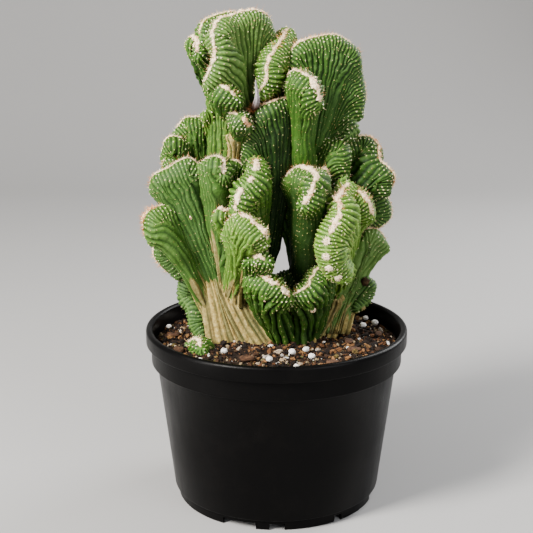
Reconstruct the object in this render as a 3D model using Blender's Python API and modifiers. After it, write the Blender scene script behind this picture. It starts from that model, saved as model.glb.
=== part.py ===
"""A crested cereus cactus in a 155 mm plastic nursery pot of gritty soil.

Metres, +Z up. The origin is on the floor, on the axis of the pot. The front of the plant faces -Y.
The plant grew as one body: a cluster of lobes, each a thick sheet that fans out from a narrow root
and rounds over on a curved crest.
"""

import math

import bmesh
import bpy
import numpy as np

MM = 0.001

# Pot
RIM_RADIUS = 77.5 * MM
POT_HEIGHT = 104.6 * MM
BASE_RADIUS = 61.8 * MM
SHOULDER_RADIUS = 71.2 * MM
SHOULDER_HEIGHT = 83.0 * MM
BAND_RADIUS = 74.6 * MM
WALL = 1.3 * MM
FOOT_HEIGHT = 6.0 * MM
FOOT_RADIUS = 59.8 * MM
FOOT_WALL = 2.2 * MM
FLOOR = 1.8 * MM
INNER_STEP_HEIGHT = SHOULDER_HEIGHT + 8.0 * MM
ROLL_DROP = 3.4 * MM
LIP_HEIGHT = 9.0 * MM
TURN_STEPS = 56
# Drainage gaps in the foot ring: centre and width of each, in degrees round from the front
FOOT_GAPS = ((-21, 19.5), (0.6, 8.2), (37, 5), (80, 20), (128, 18), (180, 20), (220, 8), (262, 20))
DRAIN_HOLES = 6
DRAIN_RADIUS = 4.0 * MM
DRAIN_CIRCLE = 44.0 * MM
DRAIN_TURN = 0.43
GAP_ROOF = 2.0 * MM
GAP_CUT = 16.0 * MM

# Soil
CLEARANCE = 0.4 * MM
SOIL_EDGE = 95.0 * MM
SOIL_RISE = 2.6 * MM
PLANTING_GAP = 1.4 * MM

# Loose grains on the soil, in millimetres: x, y and size of the perlite; x, y, length and turn of the bark
GRAIN_GAP = 0.4 * MM
PERLITE = (
    (-30, -30, 4.4),
    (9, -33, 5.0),
    (17, -28, 4.2),
    (20, -39, 4.6),
    (11, -54, 3.8),
    (-43, -44, 4.2),
    (-66, 20, 3.8),
    (-4, -44, 4.4),
    (61, 27, 5.2),
    (53, 21, 4.4),
    (56, 38, 4.0),
    (-22, 63, 4.4),
    (24, 65, 4.8),
    (-54, 40, 4.2),
)
BARK = (
    (-16, -41, 9.0, 20),
    (43, -10, 7.5, 75),
    (45, -25, 8.0, -30),
    (-24, -56, 7.0, 55),
    (-57, -24, 8.5, 110),
    (-8, -61, 7.5, -15),
    (32, -46, 8.0, 35),
    (16, -64, 6.5, -60),
    (-62, 4, 7.0, 15),
    (-40, -57, 6.5, 140),
    (61, 6, 8.0, 95),
    (39, 52, 7.5, 30),
    (0, 69, 7.0, 5),
    (-38, 51, 8.0, -40),
)

# Dried flower, standing in the cleft between the upper lobes: path in millimetres and radius
FLOWER_PATH = (
    (-13.2, -10.0, 234.2, 1.2),
    (-11.6, -14.2, 237.2, 1.5),
    (-11.0, -17.0, 240.5, 1.4),
    (-11.0, -17.8, 244.0, 1.0),
    (-11.5, -18.2, 247.5, 0.8),
    (-11.7, -18.6, 250.5, 0.5),
)

# Plant
FUSE_VOXEL = 2.0 * MM
PLANT_FACES = 7600
ROW_STEP = 5.0
COLUMN_STEP = 6.0
CAP_STEPS = 6
ROUND_STEPS = 3
END_THICKNESS = 0.62
SQUARE_GROWTH = 0.7
LONGEST_BEND = 13.0
BEND_SHARE = 0.6
STRAIGHT_SHARE = 2 / 3
GROWTH_EASE = 7.0
CROWN_SIZE = (31 * MM, 21 * MM, 8 * MM)
CROWN_CENTRE = (-7 * MM, 3 * MM, 93.5 * MM)


def lobe(name, root, neck, half, crest, root_width=4.0, root_half=None, spread=0.2, aim=None, reach=0.0):
    """One lobe in millimetres: it grows from root past neck, and rounds over with radius half on crest.

    spread fans the neck out along the crest, and aim with reach turns the growth under the crest.
    """
    return {
        "name": name,
        "root": np.array(root, float),
        "neck": np.array(neck, float),
        "half": half,
        "crest": np.array(crest, float),
        "root_width": root_width,
        "root_half": 0.6 * half if root_half is None else root_half,
        "spread": spread,
        "aim": aim,
        "reach": reach,
    }


LOBES = (
    lobe(
        "top_left_fan", (-19, 8, 210), (-16, 2, 239), 7.2,
        [(-40, -18, 250), (-36, -22, 258), (-34, -24, 264), (-34, -25, 270), (-35, -24, 276),
         (-34, -21, 280), (-31, -17, 284), (-26, -12, 285), (-20, -9, 287), (-12, -6, 288),
         (-5, -2, 284), (-1, 1, 275)],
        root_width=4, spread=0.16,
    ),
    lobe(
        "top_left_rear_fold", (-30, 12, 207), (-30, 10, 245), 6.8,
        [(-43, -5, 271), (-42, 0, 280), (-36, 5, 284), (-26, 11, 286), (-16, 17, 284)],
        root_width=6, spread=0.2,
    ),
    lobe(
        "top_left_ear", (-32, 11, 222), (-36, 6, 244), 6.2,
        [(-50, 6, 271), (-48, 0, 273), (-45, -4, 271), (-44, -7, 265)],
        root_width=4,
    ),
    lobe(
        "throat_knob_upper", (-26, -2, 230), (-28, -10, 236), 7.8,
        [(-38, -10, 251), (-32, -18, 249), (-28, -22, 247), (-22, -22, 242)],
        root_width=2, root_half=5.5,
    ),
    lobe(
        "throat_knob_lower", (-20, -2, 217), (-21, -10, 223), 6.8,
        [(-26, -15, 233), (-22, -21, 232), (-18, -24, 230), (-15, -22, 226)],
        root_width=2, root_half=5,
    ),
    lobe(
        "edge_on_fold", (-2, 14, 212), (0, 14, 244), 8.4,
        [(6, 7, 277), (2, -5, 272), (-2, -13, 266), (-5, -18, 260), (-6, -19, 252), (-10, -15, 243)],
        root_width=6, spread=0.3,
    ),
    lobe(
        "edge_on_rear_fold", (0, 16, 212), (2, 15, 242), 5.6,
        [(-5, 11, 272), (0, 8, 274), (4, 6, 274), (6, 5, 271)],
        root_width=4, spread=0.3,
    ),
    lobe(
        "central_sheet", (-14, 8, 117), (3, 3, 172), 6.8,
        [(-20, -2, 201), (-20, -6, 213), (-17, -9, 224), (-11, -12, 234), (-4, -13, 238), (8, -8, 241)],
        root_width=2, root_half=5, spread=0.3,
    ),
    lobe(
        "top_right_fan", (16, 9, 178), (20, 5, 214), 7.4,
        [(3, -6, 254), (6, -6, 263), (12, -4, 270), (22, 0, 273), (32, 3, 274), (40, 6, 270),
         (46, 8, 265), (48, 10, 256), (50, 11, 246), (51, 11, 238), (50, 10, 229)],
        root_width=6, root_half=6, spread=0.14,
    ),
    lobe(
        "top_right_heel", (22, 8, 202), (31, 6, 214), 5.2,
        [(42, 7, 228), (46, 3, 224), (46, 1, 221), (42, -2, 218)],
        root_width=3,
    ),
    lobe(
        "club_lobe", (14, 4, 176), (15, -3, 216), 7.4,
        [(5, -10, 251), (9, -16, 256), (12, -20, 256), (16, -24, 254), (20, -26, 250), (22, -27, 246),
         (24, -25, 239)],
        root_width=3, root_half=6.5, spread=0.25,
    ),
    lobe(
        "right_mid_lobe", (18, 6, 178), (28, 0, 200), 7.2,
        [(31, 2, 215), (38, 2, 215), (42, 1, 211), (43, 0, 206), (42, 0, 196)],
        root_width=4, spread=0.3,
    ),
    lobe(
        "right_shoulder_fan", (27, 12, 150), (35, 13, 177), 7.4,
        [(41, 7, 213), (50, 10, 216), (56, 10, 214), (59, 8, 210), (59, 3, 204), (64, 1, 199),
         (68, 0, 194), (66, 1, 185)],
        root_width=5, spread=0.2,
    ),
    lobe(
        "right_rear_lobe", (34, 13, 144), (46, 15, 164), 6.4,
        [(65, 16, 180), (68, 16, 172), (67, 16, 165), (60, 15, 159)],
        root_width=4,
    ),
    lobe(
        "right_low_fan", (35, 4, 98), (43, 8, 130), 6.0,
        [(49, 8, 152), (52, 8, 160), (58, 8, 161), (62, 8, 158), (66, 8, 152)],
        root_width=4, root_half=4.5,
    ),
    lobe(
        "right_skirt_fan", (32, 3, 96), (40, 4, 111), 4.6,
        [(54, 6, 133), (59, 5, 129), (59, 4, 124), (56, 2, 119), (49, 0, 114)],
        root_width=3,
    ),
    lobe(
        "front_right_ridge", (37, 12, 128), (44, 4, 160), 8.4,
        [(40, -16, 193), (34, -28, 188), (35, -33, 182), (34, -36, 178), (31, -39, 173),
         (28, -41, 167), (27, -42, 161), (28, -41, 154), (30, -38, 148), (37, -33, 140)],
        root_width=8, root_half=6, spread=0.45,
    ),
    lobe(
        "front_right_rear_ridge", (36, 12, 140), (43, 3, 164), 7.6,
        [(37, -10, 189), (44, -15, 189), (49, -17, 186), (52, -17, 182), (55, -14, 173)],
        root_width=5, root_half=6,
    ),
    lobe(
        "front_right_knob", (34, 1, 165), (36, -3, 182), 5.0,
        [(34, -8, 192), (38, -11, 195), (41, -11, 192)],
        root_width=3,
    ),
    lobe(
        "front_centre_club", (16, -1, 120), (16, -8, 168), 8.6,
        [(5, -8, 195), (10, -15, 201), (14, -21, 203), (20, -27, 202), (22, -32, 200), (20, -35, 195),
         (18, -36, 190), (14, -34, 184)],
        root_width=3, root_half=7.2, spread=0.2,
    ),
    lobe(
        "front_centre_ear", (20, 0, 156), (24, -6, 182), 5.6,
        [(23, -12, 200), (28, -13, 200), (30, -12, 194)],
        root_width=3,
    ),
    lobe(
        "centre_rear_stem", (21, 8, 120), (10, 7, 154), 6.0,
        [(0, 6, 179), (6, 6, 182), (14, 6, 179)],
        root_width=2, root_half=5.5,
    ),
    lobe(
        "front_left_ridge", (-14, 1, 138), (-11, -8, 177), 8.6,
        [(-12, -17, 207), (-12, -26, 201), (-16, -30, 196), (-20, -32, 192), (-22, -33, 186),
         (-24, -31, 179)],
        root_width=4, root_half=6, spread=0.3,
    ),
    lobe(
        "front_left_shelf", (-25, 2, 110), (-26, -16, 143), 8.4,
        [(-28, -22, 168), (-25, -28, 176), (-21, -32, 179), (-17, -35, 178), (-13, -38, 176),
         (-9, -40, 172), (-6, -41, 170), (-5, -39, 164)],
        root_width=4, root_half=5, spread=0.2,
    ),
    lobe(
        "front_left_low_knob", (-13, -8, 122), (-14, -22, 138), 6.4,
        [(-15, -35, 153), (-10, -39, 156), (-5, -39, 153)],
        root_width=3, aim=(0.1, -0.8, 0.5), reach=7,
    ),
    lobe(
        "front_left_low_shelf", (7, -4, 92), (-8, -16, 120), 8.4,
        [(-16, -21, 146), (-10, -30, 144), (-6, -34, 142), (-1, -36, 140), (3, -36, 137),
         (8, -33, 132)],
        root_width=4, root_half=6, spread=0.35,
    ),
    lobe(
        "front_right_low_shelf", (16, -3, 92), (26, -10, 124), 8.2,
        [(30, -9, 145), (24, -18, 144), (20, -23, 140), (18, -26, 136), (14, -28, 134), (8, -28, 130)],
        root_width=4, root_half=6, spread=0.35,
    ),
    lobe(
        "right_root_flare", (22, 0, 90), (30, -1, 106), 2.8,
        [(36, 0, 120), (38, 2, 122), (39, 4, 122)],
        root_width=1.5,
    ),
    lobe(
        "left_broad_fan", (-24, 0, 98), (-43, -4, 162), 7.0,
        [(-73, 1, 188), (-71, -4, 194), (-68, -6, 197), (-62, -8, 200), (-56, -9, 204), (-50, -9, 206),
         (-44, -9, 202)],
        root_width=5, root_half=4.5, spread=0.2,
    ),
    lobe(
        "left_inner_lobe", (-22, 0, 98), (-36, -9, 161), 7.6,
        [(-44, -5, 202), (-39, -11, 206), (-34, -15, 208), (-30, -18, 206), (-30, -21, 199)],
        root_width=4, root_half=5, spread=0.2,
    ),
    lobe(
        "left_inner_rear_lobe", (-20, 1, 100), (-27, -3, 156), 6.0,
        [(-28, -2, 201), (-24, -5, 204), (-19, -6, 201)],
        root_width=3,
    ),
    lobe(
        "left_mid_lobe", (-37, -1, 108), (-52, -8, 144), 7.0,
        [(-61, -6, 179), (-68, -10, 178), (-73, -13, 176), (-76, -14, 172), (-76, -13, 166),
         (-74, -10, 160)],
        root_width=3, root_half=3.5, spread=0.2,
    ),
    lobe(
        "left_low_lobe", (-29, 5, 95), (-46, 3, 136), 5.6,
        [(-72, 0, 154), (-72, 0, 146), (-68, 0, 140), (-61, 0, 133)],
        root_width=5,
    ),
    lobe(
        "left_skirt_lobe", (-32, 4, 88), (-42, 2, 105), 6.0,
        [(-58, 4, 134), (-58, 1, 124), (-53, -2, 116), (-52, -4, 110), (-51, -6, 105), (-47, -9, 99)],
        root_width=6,
    ),
    lobe(
        "corky_foot", (-14, -4, 84), (-30, -6, 114), 6.0,
        [(-47, 2, 141), (-39, 2, 146), (-32, 1, 146), (-23, 1, 143)],
        root_width=19, root_half=8, spread=0.7,
    ),
    lobe(
        "basal_pup", (-44, -8, 80), (-46, -14, 89), 7.8,
        [(-52, -14, 98), (-46, -21, 102), (-43, -28, 99)],
        root_width=4,
    ),
    lobe(
        "rear_left_upper_lobe", (-36, 14, 152), (-45, 14, 195), 7.0,
        [(-59, 13, 219), (-54, 14, 225), (-50, 14, 226), (-42, 14, 226)],
        root_width=4,
    ),
    lobe(
        "rear_left_mid_lobe", (-38, 12, 147), (-50, 10, 186), 6.6,
        [(-67, 9, 205), (-64, 6, 214), (-59, 6, 216), (-53, 9, 213)],
        root_width=4,
    ),
    lobe(
        "rear_left_small_lobe", (-42, 12, 153), (-54, 8, 185), 5.0,
        [(-67, 6, 198), (-64, 4, 204), (-59, 4, 206)],
        root_width=3,
    ),
    lobe(
        "left_trunk", (-24, 10, 104), (-32, 9, 198), 7.0,
        [(-38, 4, 251), (-30, 3, 254), (-22, 4, 254), (-15, 9, 247)],
        root_width=4, root_half=8, spread=0.5,
    ),
    lobe(
        "right_trunk", (22, 10, 104), (18, 8, 163), 8.0,
        [(6, 7, 207), (16, 3, 210), (26, 7, 204)],
        root_width=4, root_half=8, spread=0.5,
    ),
    lobe(
        "front_foot", (4, -2, 86), (6, -3, 112), 6.4,
        [(-8, -4, 127), (0, -3, 136), (8, -3, 138), (16, -6, 131)],
        root_width=18, root_half=7, spread=0.5,
    ),
    lobe(
        "front_left_small_knob", (-29, -5, 150), (-32, -13, 164), 5.0,
        [(-35, -16, 176), (-32, -20, 179), (-27, -21, 178)],
        root_width=3,
    ),
    lobe(
        "throat_scar", (-24, 2, 200), (-24, -3, 210), 4.2,
        [(-27, -5, 219), (-24, -7, 221), (-20, -7, 220)],
        root_width=2,
    ),
    lobe(
        "trunk_bud", (-38, 6, 218), (-40, 4, 224), 3.4,
        [(-43, 3, 230), (-40, 1, 232)],
        root_width=2,
    ),
    lobe(
        "back_crown_fan", (14, 18, 182), (11, 22, 229), 7.4,
        [(3, 19, 255), (11, 24, 264), (20, 28, 264), (30, 32, 260), (37, 34, 254), (42, 34, 241)],
        root_width=5, spread=0.2,
    ),
    lobe(
        "back_left_crown_fan", (-26, 18, 194), (-28, 22, 229), 7.0,
        [(-41, 21, 256), (-37, 28, 266), (-30, 32, 272), (-20, 34, 273), (-11, 31, 266)],
        root_width=5, spread=0.2,
    ),
    lobe(
        "back_centre_fan", (-4, 22, 181), (-3, 34, 210), 7.4,
        [(-21, 33, 227), (-12, 40, 235), (-3, 44, 237), (6, 44, 234), (16, 39, 226)],
        root_width=5, spread=0.25,
    ),
    lobe(
        "back_centre_ridge", (-6, 22, 169), (-9, 34, 191), 8.0,
        [(-8, 46, 216), (-12, 54, 205), (-9, 56, 196), (-14, 56, 184)],
        root_width=4, spread=0.3,
    ),
    lobe(
        "back_left_fan", (-27, 16, 114), (-44, 26, 162), 7.2,
        [(-66, 22, 185), (-63, 30, 193), (-56, 36, 197), (-48, 40, 198), (-39, 43, 192)],
        root_width=5, spread=0.2,
    ),
    lobe(
        "back_left_low_fan", (-26, 12, 96), (-50, 26, 123), 7.0,
        [(-71, 22, 149), (-70, 30, 157), (-64, 36, 161), (-57, 40, 161), (-51, 45, 155)],
        root_width=5, spread=0.2,
    ),
    lobe(
        "back_right_fan", (24, 18, 126), (38, 28, 166), 7.4,
        [(30, 33, 196), (40, 36, 202), (48, 36, 202), (55, 32, 198), (61, 27, 189)],
        root_width=5, spread=0.2,
    ),
    lobe(
        "back_right_low_fan", (26, 12, 97), (42, 26, 123), 7.0,
        [(33, 42, 150), (43, 42, 154), (51, 38, 154), (58, 32, 150), (61, 27, 142)],
        root_width=5, spread=0.2,
    ),
    lobe(
        "back_right_ridge", (22, 18, 133), (25, 30, 160), 8.2,
        [(24, 46, 186), (30, 54, 175), (26, 58, 166), (30, 58, 158), (24, 55, 149)],
        root_width=4, spread=0.3,
    ),
    lobe(
        "back_left_ridge", (-22, 16, 121), (-25, 30, 151), 8.2,
        [(-27, 48, 178), (-32, 56, 168), (-28, 58, 160), (-32, 58, 152), (-25, 53, 144)],
        root_width=4, spread=0.3,
    ),
    lobe(
        "back_low_left_shelf", (-9, 14, 90), (-24, 34, 102), 7.8,
        [(-36, 42, 124), (-27, 50, 126), (-20, 54, 122), (-11, 54, 115)],
        root_width=5, spread=0.4,
    ),
    lobe(
        "back_low_right_shelf", (13, 14, 90), (28, 32, 102), 7.6,
        [(10, 52, 113), (18, 52, 120), (26, 48, 124), (36, 40, 124)],
        root_width=5, spread=0.4,
    ),
)


# ---------------------------------------------------------------- scene and materials


def clear_scene():
    for obj in list(bpy.data.objects):
        bpy.data.objects.remove(obj, do_unlink=True)


def new_collection(name):
    collection = bpy.data.collections.new(name)
    bpy.context.scene.collection.children.link(collection)
    return collection


def material(name, colour, roughness, metallic=0.0):
    made = bpy.data.materials.new(name)
    made.use_nodes = True
    shader = made.node_tree.nodes["Principled BSDF"]
    shader.inputs["Base Color"].default_value = (*colour, 1.0)
    shader.inputs["Roughness"].default_value = roughness
    shader.inputs["Metallic"].default_value = metallic
    return made


def add_object(name, mesh, collection, surface=None):
    obj = bpy.data.objects.new(name, mesh)
    collection.objects.link(obj)
    if surface is not None:
        mesh.materials.append(surface)
    return obj


def mesh_from(bm, name):
    mesh = bpy.data.meshes.new(name)
    bm.to_mesh(mesh)
    bm.free()
    return mesh


def as_helper(obj):
    obj.hide_render = True
    obj.display_type = "WIRE"
    return obj


def cut(target, cutter):
    boolean = target.modifiers.new(cutter.name, "BOOLEAN")
    boolean.operation = "DIFFERENCE"
    boolean.object = cutter


# ---------------------------------------------------------------- turned pieces


def arc(centre, radius, start, end, steps):
    """Points of an arc in the (radius, height) plane, angles in degrees."""
    angles = [math.radians(start + (end - start) * i / steps) for i in range(steps + 1)]
    return [(centre[0] + radius * math.cos(a), centre[1] + radius * math.sin(a)) for a in angles]


def turned(name, profile, collection, surface):
    """A body of revolution: the profile runs from the axis up inside and down the outer side."""
    mesh = bpy.data.meshes.new(name)
    edges = [(i, i + 1) for i in range(len(profile) - 1)]
    mesh.from_pydata([(radius, 0.0, height) for radius, height in profile], edges, [])
    obj = add_object(name, mesh, collection, surface)
    screw = obj.modifiers.new("turn", "SCREW")
    screw.steps = TURN_STEPS
    screw.render_steps = TURN_STEPS
    screw.use_merge_vertices = True
    screw.merge_threshold = 0.0001
    return obj


def pot_profile():
    """Section of the pot: floor, tapered wall, a wider band, and a lip rolled outwards and down."""
    floor_top = FOOT_HEIGHT + FLOOR
    inner_base = BASE_RADIUS - WALL
    roll = (RIM_RADIUS - BAND_RADIUS) / 2 + WALL / 2
    roll_centre = (RIM_RADIUS - roll, POT_HEIGHT - roll)
    lip_bottom = POT_HEIGHT - LIP_HEIGHT
    return [
        (0.0, floor_top),
        (inner_base - 2.0 * MM, floor_top),
        (inner_base + 0.2 * MM, floor_top + 2.0 * MM),
        (SHOULDER_RADIUS - WALL, INNER_STEP_HEIGHT),
        (BAND_RADIUS - WALL, SHOULDER_HEIGHT + 9.5 * MM),
        *arc(roll_centre, roll, 180, 0, 5),
        (RIM_RADIUS, lip_bottom + 0.8 * MM),
        (RIM_RADIUS - 0.7 * MM, lip_bottom),
        (RIM_RADIUS - WALL, lip_bottom + 0.6 * MM),
        (RIM_RADIUS - WALL, POT_HEIGHT - ROLL_DROP),
        (BAND_RADIUS + 0.1 * MM, POT_HEIGHT - ROLL_DROP),
        (BAND_RADIUS - 0.2 * MM, SHOULDER_HEIGHT + 1.6 * MM),
        (SHOULDER_RADIUS, SHOULDER_HEIGHT),
        (BASE_RADIUS, FOOT_HEIGHT + 0.6 * MM),
        (FOOT_RADIUS, FOOT_HEIGHT),
        (FOOT_RADIUS - 0.3 * MM, 0.0),
        (FOOT_RADIUS - FOOT_WALL, 0.0),
        (FOOT_RADIUS - FOOT_WALL - 0.6 * MM, FOOT_HEIGHT),
        (0.0, FOOT_HEIGHT),
    ]


def soil_height(radius):
    """Top of the soil: a low dome, higher under the plant than at the wall."""
    return SOIL_EDGE + SOIL_RISE * (1 - (radius / BAND_RADIUS) ** 2)


def soil_profile():
    """Section of the soil, which fills the pot and keeps clear of its wall."""
    floor_top = FOOT_HEIGHT + FLOOR + CLEARANCE
    inner_base = BASE_RADIUS - WALL - CLEARANCE
    edge = BAND_RADIUS - WALL - 2 * CLEARANCE
    top = [(edge * share, soil_height(edge * share)) for share in (0.0, 0.3, 0.6, 0.85, 1.0)]
    side = [
        (edge, SHOULDER_HEIGHT + 9.9 * MM),
        (SHOULDER_RADIUS - WALL - CLEARANCE, INNER_STEP_HEIGHT),
        (inner_base + 0.1 * MM, floor_top + 2.2 * MM),
        (inner_base - 2.0 * MM, floor_top),
        (0.0, floor_top),
    ]
    return top + side


def foot_gap_cutter(index, centre, width, collection):
    """A block across the foot ring; centre and width are angles in degrees from the front."""
    bm = bmesh.new()
    bmesh.ops.create_cube(bm, size=1.0)
    across = 2 * FOOT_RADIUS * math.sin(math.radians(width / 2))
    bmesh.ops.scale(bm, vec=(across, GAP_CUT, 2 * (FOOT_HEIGHT - GAP_ROOF)), verts=bm.verts)
    cutter = as_helper(add_object(f"foot_gap_{index}", mesh_from(bm, "foot_gap"), collection))
    angle = math.radians(centre - 90)
    reach = FOOT_RADIUS - FOOT_WALL / 2
    cutter.location = (reach * math.cos(angle), reach * math.sin(angle), 0.0)
    cutter.rotation_euler = (0.0, 0.0, math.radians(centre))
    return cutter


def drain_cutter(index, collection):
    bm = bmesh.new()
    bmesh.ops.create_cone(
        bm, cap_ends=True, segments=12, radius1=DRAIN_RADIUS, radius2=DRAIN_RADIUS, depth=8 * MM
    )
    cutter = as_helper(add_object(f"drain_{index}", mesh_from(bm, "drain"), collection))
    angle = 2 * math.pi * (index + DRAIN_TURN) / DRAIN_HOLES
    cutter.location = (DRAIN_CIRCLE * math.cos(angle), DRAIN_CIRCLE * math.sin(angle), FOOT_HEIGHT + MM)
    return cutter


def add_pot(parts, helpers):
    plastic = material("black_plastic", (0.018, 0.018, 0.02), 0.38)
    pot = turned("nursery_pot", pot_profile(), parts, plastic)
    for index, (centre, width) in enumerate(FOOT_GAPS):
        cut(pot, foot_gap_cutter(index, centre, width, helpers))
    for index in range(DRAIN_HOLES):
        cut(pot, drain_cutter(index, helpers))


# ---------------------------------------------------------------- plant


def smooth_step(x):
    x = np.clip(x, 0.0, 1.0)
    return x * x * (3 - 2 * x)


def unit(vectors):
    return vectors / np.maximum(np.linalg.norm(vectors, axis=-1, keepdims=True), 1e-9)


def curve_length(points):
    return np.linalg.norm(np.diff(points, axis=0), axis=1).sum()


def curve_through(points, count):
    """Evenly spaced points along the Catmull-Rom curve through the given points."""
    ends = (2 * points[0] - points[1], 2 * points[-1] - points[-2])
    known = np.vstack([ends[0], points, ends[1]])
    t = np.linspace(0, 1, 24, endpoint=False)[:, None]
    pieces = []
    for a, b, c, d in zip(known, known[1:], known[2:], known[3:]):
        bend = (2 * a - 5 * b + 4 * c - d) * t**2 + (3 * b - a - 3 * c + d) * t**3
        pieces.append((2 * b + (c - a) * t + bend) / 2)
    fine = np.vstack([*pieces, points[-1:]])
    along = np.concatenate([[0.0], np.cumsum(np.linalg.norm(np.diff(fine, axis=0), axis=1))])
    wanted = np.linspace(0.0, along[-1], count)
    return np.stack([np.interp(wanted, along, fine[:, axis]) for axis in range(3)], axis=-1)


def thickness(shape, count):
    """Half thickness of a lobe at each column: thinner towards both ends of its crest."""
    swell = np.sin(math.pi * np.linspace(0, 1, count)) ** 0.6
    return shape["half"] * (END_THICKNESS + (1 - END_THICKNESS) * swell)[:, None]


def eased(vectors, reach):
    """Vectors along a curve, each blended with its neighbours out to the given number of steps."""
    weights = np.hanning(2 * reach + 3)[1:-1]
    weights /= weights.sum()
    padded = np.pad(vectors, ((reach, reach), (0, 0)), mode="edge")
    return np.stack([np.convolve(padded[:, axis], weights, "valid") for axis in range(3)], axis=-1)


def growth_at_crest(crest, neck):
    """Directions in which the lobe reaches its crest: from the neck, turned nearly square to the crest."""
    straight = unit(crest - neck)
    along = unit(np.gradient(crest, axis=0))
    square = unit(straight - along * (straight * along).sum(1, keepdims=True))
    spacing = np.linalg.norm(np.diff(crest, axis=0), axis=1).mean()
    return unit(eased(straight + SQUARE_GROWTH * (square - straight), max(1, round(GROWTH_EASE / spacing))))


def growth_sheet(shape, crest, rows):
    """Mid surface from root to crest as rows of points, with the directions up, along and out of it."""
    neck = shape["neck"] + shape["spread"] * (crest - crest.mean(0))
    if shape["reach"]:
        up_at_top = np.tile(unit(np.array(shape["aim"])), (len(crest), 1))
    else:
        up_at_top = growth_at_crest(crest, neck)
    top = crest - up_at_top * thickness(shape, len(crest))
    across = np.linspace(-1, 1, len(crest))[:, None] * shape["root_width"] * unit(crest[-1] - crest[0])
    root = shape["root"] + across
    lower = neck if shape["reach"] else root + (neck - root) * STRAIGHT_SHARE
    grown = np.linalg.norm(top - neck, axis=1, keepdims=True)
    bend = shape["reach"] or np.minimum(BEND_SHARE * grown, LONGEST_BEND)
    upper = top - up_at_top * bend
    v = np.linspace(0, 1, rows + 1)[:, None, None]
    sheet = (1 - v) ** 3 * root + 3 * v * (1 - v) ** 2 * lower + 3 * v**2 * (1 - v) * upper + v**3 * top
    up = unit((1 - v) ** 2 * (lower - root) + 2 * v * (1 - v) * (upper - lower) + v**2 * (top - upper))
    out = unit(np.cross(unit(np.gradient(sheet, axis=1)), up))
    return sheet, up, unit(np.cross(up, out)), out


def ring_walk(columns):
    """Column and turning angle of each point round a ring: front, one end, back, other end."""
    front = [(column, 0.0) for column in range(columns)]
    end = [(columns, math.pi * step / CAP_STEPS) for step in range(CAP_STEPS)]
    back = [(columns - column, math.pi) for column in range(columns)]
    start = [(0, math.pi + math.pi * step / CAP_STEPS) for step in range(CAP_STEPS)]
    walk = front + end + back + start
    return np.array([column for column, _ in walk]), np.array([angle for _, angle in walk])


def lobe_rings(shape, columns):
    """Closed rings up the lobe, then rings that round over towards the crest."""
    crest = curve_through(shape["crest"], columns + 1)
    reach = np.linalg.norm(shape["neck"] - shape["root"]) + np.linalg.norm(crest.mean(0) - shape["neck"])
    rows = max(4, round(reach / ROW_STEP))
    sheet, up, along, out = growth_sheet(shape, crest, rows)
    at, angle = ring_walk(columns)
    angle = angle[None, :, None]
    side = np.cos(angle) * out[:, at] + np.sin(angle) * along[:, at]
    grown = smooth_step(np.linspace(0, 1.15, rows + 1))[:, None, None]
    half = shape["root_half"] + (thickness(shape, columns + 1)[at] - shape["root_half"]) * grown
    rings = list(sheet[:, at] + side * half)
    for step in range(1, ROUND_STEPS):
        turn = math.pi / 2 * step / ROUND_STEPS
        rings.append(sheet[-1, at] + half[-1] * (math.cos(turn) * side[-1] + math.sin(turn) * up[-1, at]))
    return rings, crest, at


def add_lobe(bm, shape):
    """Lofts the lobe's rings, fans its root shut and closes its top on the crest line."""
    columns = max(2, round(curve_length(shape["crest"]) / COLUMN_STEP))
    rings, crest, at = lobe_rings(shape, columns)
    rows = [[bm.verts.new(point * MM) for point in ring] for ring in rings]
    ridge = [bm.verts.new(point * MM) for point in crest]
    count = len(at)
    for low, high in zip(rows, rows[1:]):
        for i in range(count):
            j = (i + 1) % count
            bm.faces.new((low[i], low[j], high[j], high[i]))
    for i in range(count):
        j = (i + 1) % count
        corners = [rows[-1][i], rows[-1][j], ridge[at[j]], ridge[at[i]]]
        bm.faces.new(corners[:3] if at[i] == at[j] else corners)
    bm.faces.new(rows[0][::-1])


def crown_mesh():
    """All lobes and the root crown that joins them under the soil, still as overlapping bodies."""
    bm = bmesh.new()
    for shape in LOBES:
        add_lobe(bm, shape)
    crown = bmesh.ops.create_uvsphere(bm, u_segments=24, v_segments=12, radius=1.0)
    bmesh.ops.scale(bm, vec=CROWN_SIZE, verts=crown["verts"])
    bmesh.ops.translate(bm, vec=CROWN_CENTRE, verts=crown["verts"])
    bmesh.ops.recalc_face_normals(bm, faces=bm.faces)
    return mesh_from(bm, "lobes")


def island_of(first):
    """The vertices joined to this one."""
    found = {first}
    edge = [first]
    while edge:
        vert = edge.pop()
        for link in vert.link_edges:
            other = link.other_vert(vert)
            if other not in found:
                found.add(other)
                edge.append(other)
    return found


def keep_outer_skin(mesh):
    """Removes the closed pockets inside the cluster, leaving the one outer surface."""
    bm = bmesh.new()
    bm.from_mesh(mesh)
    left = set(bm.verts)
    islands = []
    while left:
        islands.append(island_of(next(iter(left))))
        left -= islands[-1]
    islands.sort(key=len)
    bmesh.ops.delete(bm, geom=[vert for island in islands[:-1] for vert in island], context="VERTS")
    bm.to_mesh(mesh)
    bm.free()


def add_remesh(obj):
    remesh = obj.modifiers.new("fuse", "REMESH")
    remesh.mode = "VOXEL"
    remesh.voxel_size = FUSE_VOXEL


def fused_mesh(helpers):
    """The lobes fused into one skin."""
    lobes = as_helper(add_object("lobes", crown_mesh(), helpers))
    add_remesh(lobes)
    graph = bpy.context.evaluated_depsgraph_get()
    mesh = bpy.data.meshes.new_from_object(lobes.evaluated_get(graph))
    keep_outer_skin(mesh)
    return mesh


def add_decimate(obj, faces):
    decimate = obj.modifiers.new("fewer_faces", "DECIMATE")
    decimate.ratio = faces / (2 * len(obj.data.polygons))


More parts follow.
